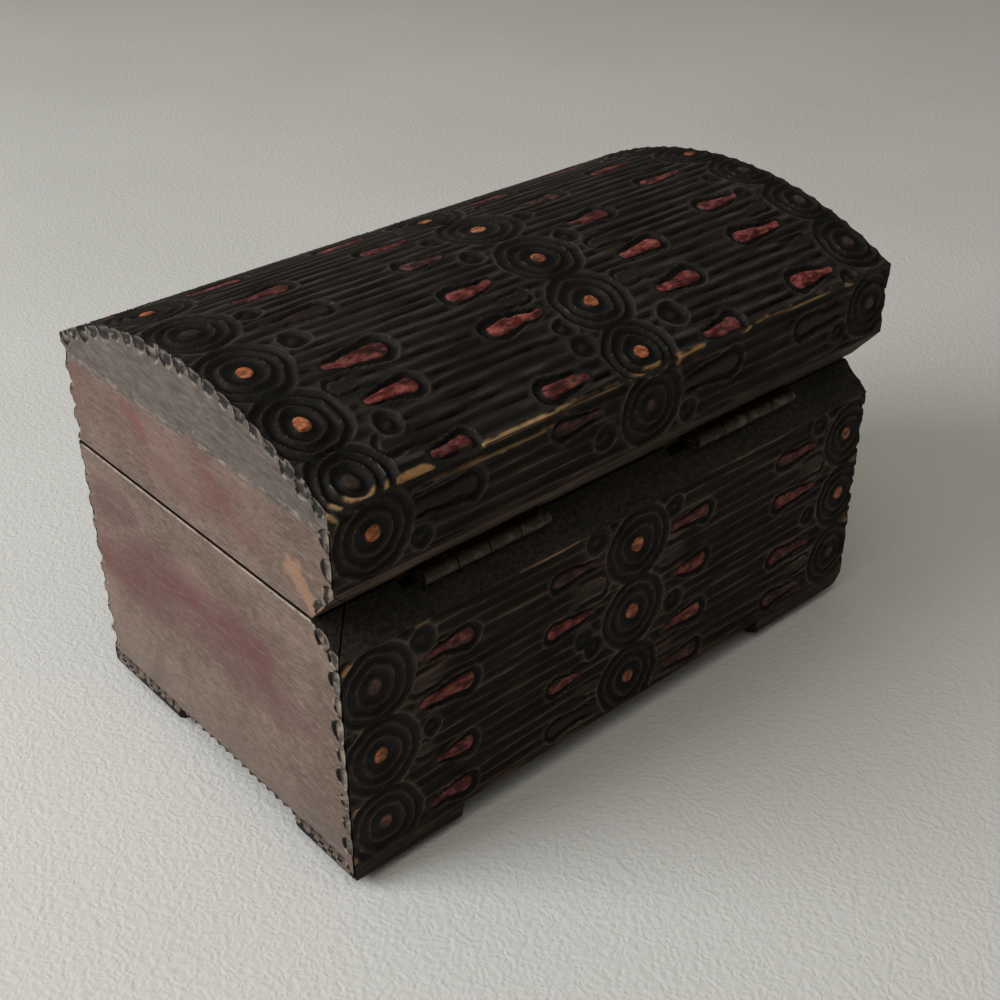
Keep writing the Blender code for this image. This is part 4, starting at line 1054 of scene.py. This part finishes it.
def brass_finish():
    material, b, shader = principled("aged_brass")
    place_in = object_place(b)
    blotch = b.noise(place_in, 260.0, 4.0, 0.65)
    tarnish = b.step(blotch, 0.38, 0.62)
    base = b.mix_colour(tarnish, (0.016, 0.012, 0.008), (0.055, 0.037, 0.023))
    rubbed = b.step(b.noise(place_in, 380.0, 3.0, 0.6), 0.50, 0.70, 0.0, 0.6)
    base = b.mix_colour(rubbed, base, (0.17, 0.125, 0.080))
    b.fill(shader, {"Base Color": base, "Metallic": b.mix(tarnish, 0.25, 0.75),
                    "Roughness": b.mix(tarnish, 0.62, 0.42), "Normal": b.bump(blotch, 0.4, 0.0001)})
    return material


def floor_finish():
    material, b, shader = principled("pale_table_cover")
    place_in = object_place(b)
    wrinkle = b.noise(place_in, 640.0, 4.0, 0.6)
    bend = b.scaled(b.cloud(place_in, 220.0)[1], 0.004)
    cells = b.out("ShaderNodeTexVoronoi", {"Vector": b.vector("ADD", place_in, bend), "Scale": 920.0},
                  feature="SMOOTH_F1")
    wide = b.noise(place_in, 9.0, 2.0)
    base = b.mix_colour(b.step(wide, 0.3, 0.7), (0.62, 0.615, 0.59), (0.65, 0.645, 0.62))
    height = b.math("MULTIPLY_ADD", wrinkle, 0.8, cells)
    b.fill(shader, {"Base Color": base, "Roughness": 0.6, "Normal": b.bump(height, 0.45, 0.00045)})
    return material


# Light and floor

def make_stage():
    mesh = bpy.data.meshes.new("floor")
    reach = 4.0
    mesh.from_pydata([(-reach, -reach, 0), (reach, -reach, 0), (reach, reach, 0), (-reach, reach, 0)], [],
                     [(0, 1, 2, 3)])
    floor = place("floor", mesh)
    mesh.materials.append(floor_finish())
    world = bpy.data.worlds.new("room")
    bpy.context.scene.world = world
    world.use_nodes = True
    world.node_tree.nodes["Background"].inputs["Color"].default_value = (1.0, 0.94, 0.81, 1)
    world.node_tree.nodes["Background"].inputs["Strength"].default_value = 0.185
    for name, spot, size, power, colour in (
            ("window", (0.80, -0.33, 0.60), 0.6, 9.3, (0.975, 0.985, 1.0)),
            ("sky", (0.30, 0.20, 1.2), 1.0, 4.4, (1.0, 0.98, 0.93))):
        data = bpy.data.lights.new(name, "AREA")
        data.size = size
        data.energy = power
        data.color = colour
        lamp = bpy.data.objects.new(name, data)
        bpy.context.scene.collection.objects.link(lamp)
        lamp.location = spot
        lamp.rotation_euler = (Vector((0, 0, 0.04)) - Vector(spot)).to_track_quat("-Z", "Y").to_euler()
    bpy.context.scene.view_settings.view_transform = "Standard"


# Making

make_camera()
make_stage()

grain = grain_group()
carved_wood = carved_finish(grain)
end_wood = end_finish(grain)
plain_wood = plain_finish(grain)
brass = brass_finish()

mark_objects = {
    "Rosettes": mark_set("rosette_marks", rosettes(BACK_ROSETTES), rosettes(LID_ROSETTES),
                         rosettes(LID_STRIP_ROSETTES)),
    "Drops": mark_set("drop_marks", pointed(BACK_DROPS), pointed(LID_DROPS), pointed(STRIP_DROPS)),
    "Tongues": mark_set("tongue_marks", tongues(BACK_TONGUES), tongues(LID_TONGUES), []),
    "Rings": mark_set("ring_marks", rings(BACK_RINGS), rings(LID_RINGS), rings(STRIP_RINGS)),
    "Worn Places": mark_set("worn_marks", [(*m, NONE) for m in BACK_WORN], [],
                            [(m[0], CREASE - m[1], *m[2:], NONE) for m in LID_WORN]),
}
carve = carve_tree(nearest_mark_tree())
chips = chip_tree()
boards = board_tree()
body_chips, lid_chips = make_chips()

# Piece, the CAD node it replaces, body, slot, and how far from the dome's seam its edges are drawn to it
CLOSE_SEAM = 0.0002
BOARDS = [
    ("carved_back_panel", "body_back_panel", "box", "carved_wood", 0.0),
    ("carved_front_panel", "body_front_panel", "box", "carved_wood", 0.0),
    ("right_end_panel", "body_right_panel", "box", "end_wood", 0.0),
    ("left_end_panel", "body_left_panel", "box", "end_wood", 0.0),
    ("carved_lid_back", "lid_back_rail", "lid", "carved_wood", CLOSE_SEAM),
    ("carved_lid_front", "lid_front_rail", "lid", "carved_wood", CLOSE_SEAM),
    ("lid_right_end", "lid_right_rail", "lid", "end_wood", CLOSE_SEAM),
    ("lid_left_end", "lid_left_rail", "lid", "end_wood", CLOSE_SEAM),
    ("carved_dome", "lid_top_board", "lid", "carved_wood", CLOSE_SEAM),
]

FILLER_INSET, FILLER_THICKNESS, FILLER_PROUD = 3.0, 2.4, 0.2


def face_filler(name, sign):
    """A slab that closes the plain board's own grooves, so that the carved block gives that face."""
    inner, outer = sign * (BACK - FILLER_THICKNESS), sign * (BACK + FILLER_PROUD)
    low = Vector((BODY_LEFT + FILLER_INSET, min(inner, outer), FOOT_TOP + 0.5))
    high = Vector((BODY_RIGHT - FILLER_INSET, max(inner, outer), BODY_LIP - 0.5))
    shape = bmesh.new()
    bmesh.ops.create_cube(shape, size=1)
    bmesh.ops.scale(shape, vec=(high - low) * MM, verts=shape.verts)
    bmesh.ops.translate(shape, vec=(high + low) * MM / 2, verts=shape.verts)
    mesh = bpy.data.meshes.new(name)
    shape.to_mesh(mesh)
    shape.free()
    return place(name, mesh)


fillers = {"carved_back_panel": face_filler("back_filler", 1),
           "carved_front_panel": face_filler("front_filler", -1)}
blocks = {}
for body, mesh, chip_marks in (("box", body_block(), body_chips), ("lid", lid_block(), lid_chips)):
    block = place(mesh.name, mesh)
    block.data = run_tree(block, carve, {**mark_objects, "Material": carved_wood})
    block.data = run_tree(block, chips, {"Chips": chip_marks, "Material": carved_wood})
    blocks[body] = block

for name, node, body, slot, seam in BOARDS:
    values = {"Board": nodes[node], "Seam Reach": seam, "Carved Face": carved_wood,
              "End Face": end_wood, "Plain Face": plain_wood, "Plain Block": name == "carved_dome"}
    if name in fillers:
        values["Filler"] = fillers[name]
    mesh = run_tree(blocks[body], boards, values)
    mesh.name = name
    piece = place(name, mesh)
    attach(piece, body)
    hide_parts(node)
    print(name, "triangles", sum(len(p.vertices) - 2 for p in mesh.polygons))

for helper in [*mark_objects.values(), body_chips, lid_chips, *blocks.values(), *fillers.values()]:
    bpy.data.objects.remove(helper, do_unlink=True)

for name, node in nodes.items():
    if "hinge" in name:
        node.data.materials.clear()
        node.data.materials.append(brass)
nodes["bottom_board"].data.materials.clear()
nodes["bottom_board"].data.materials.append(plain_wood)
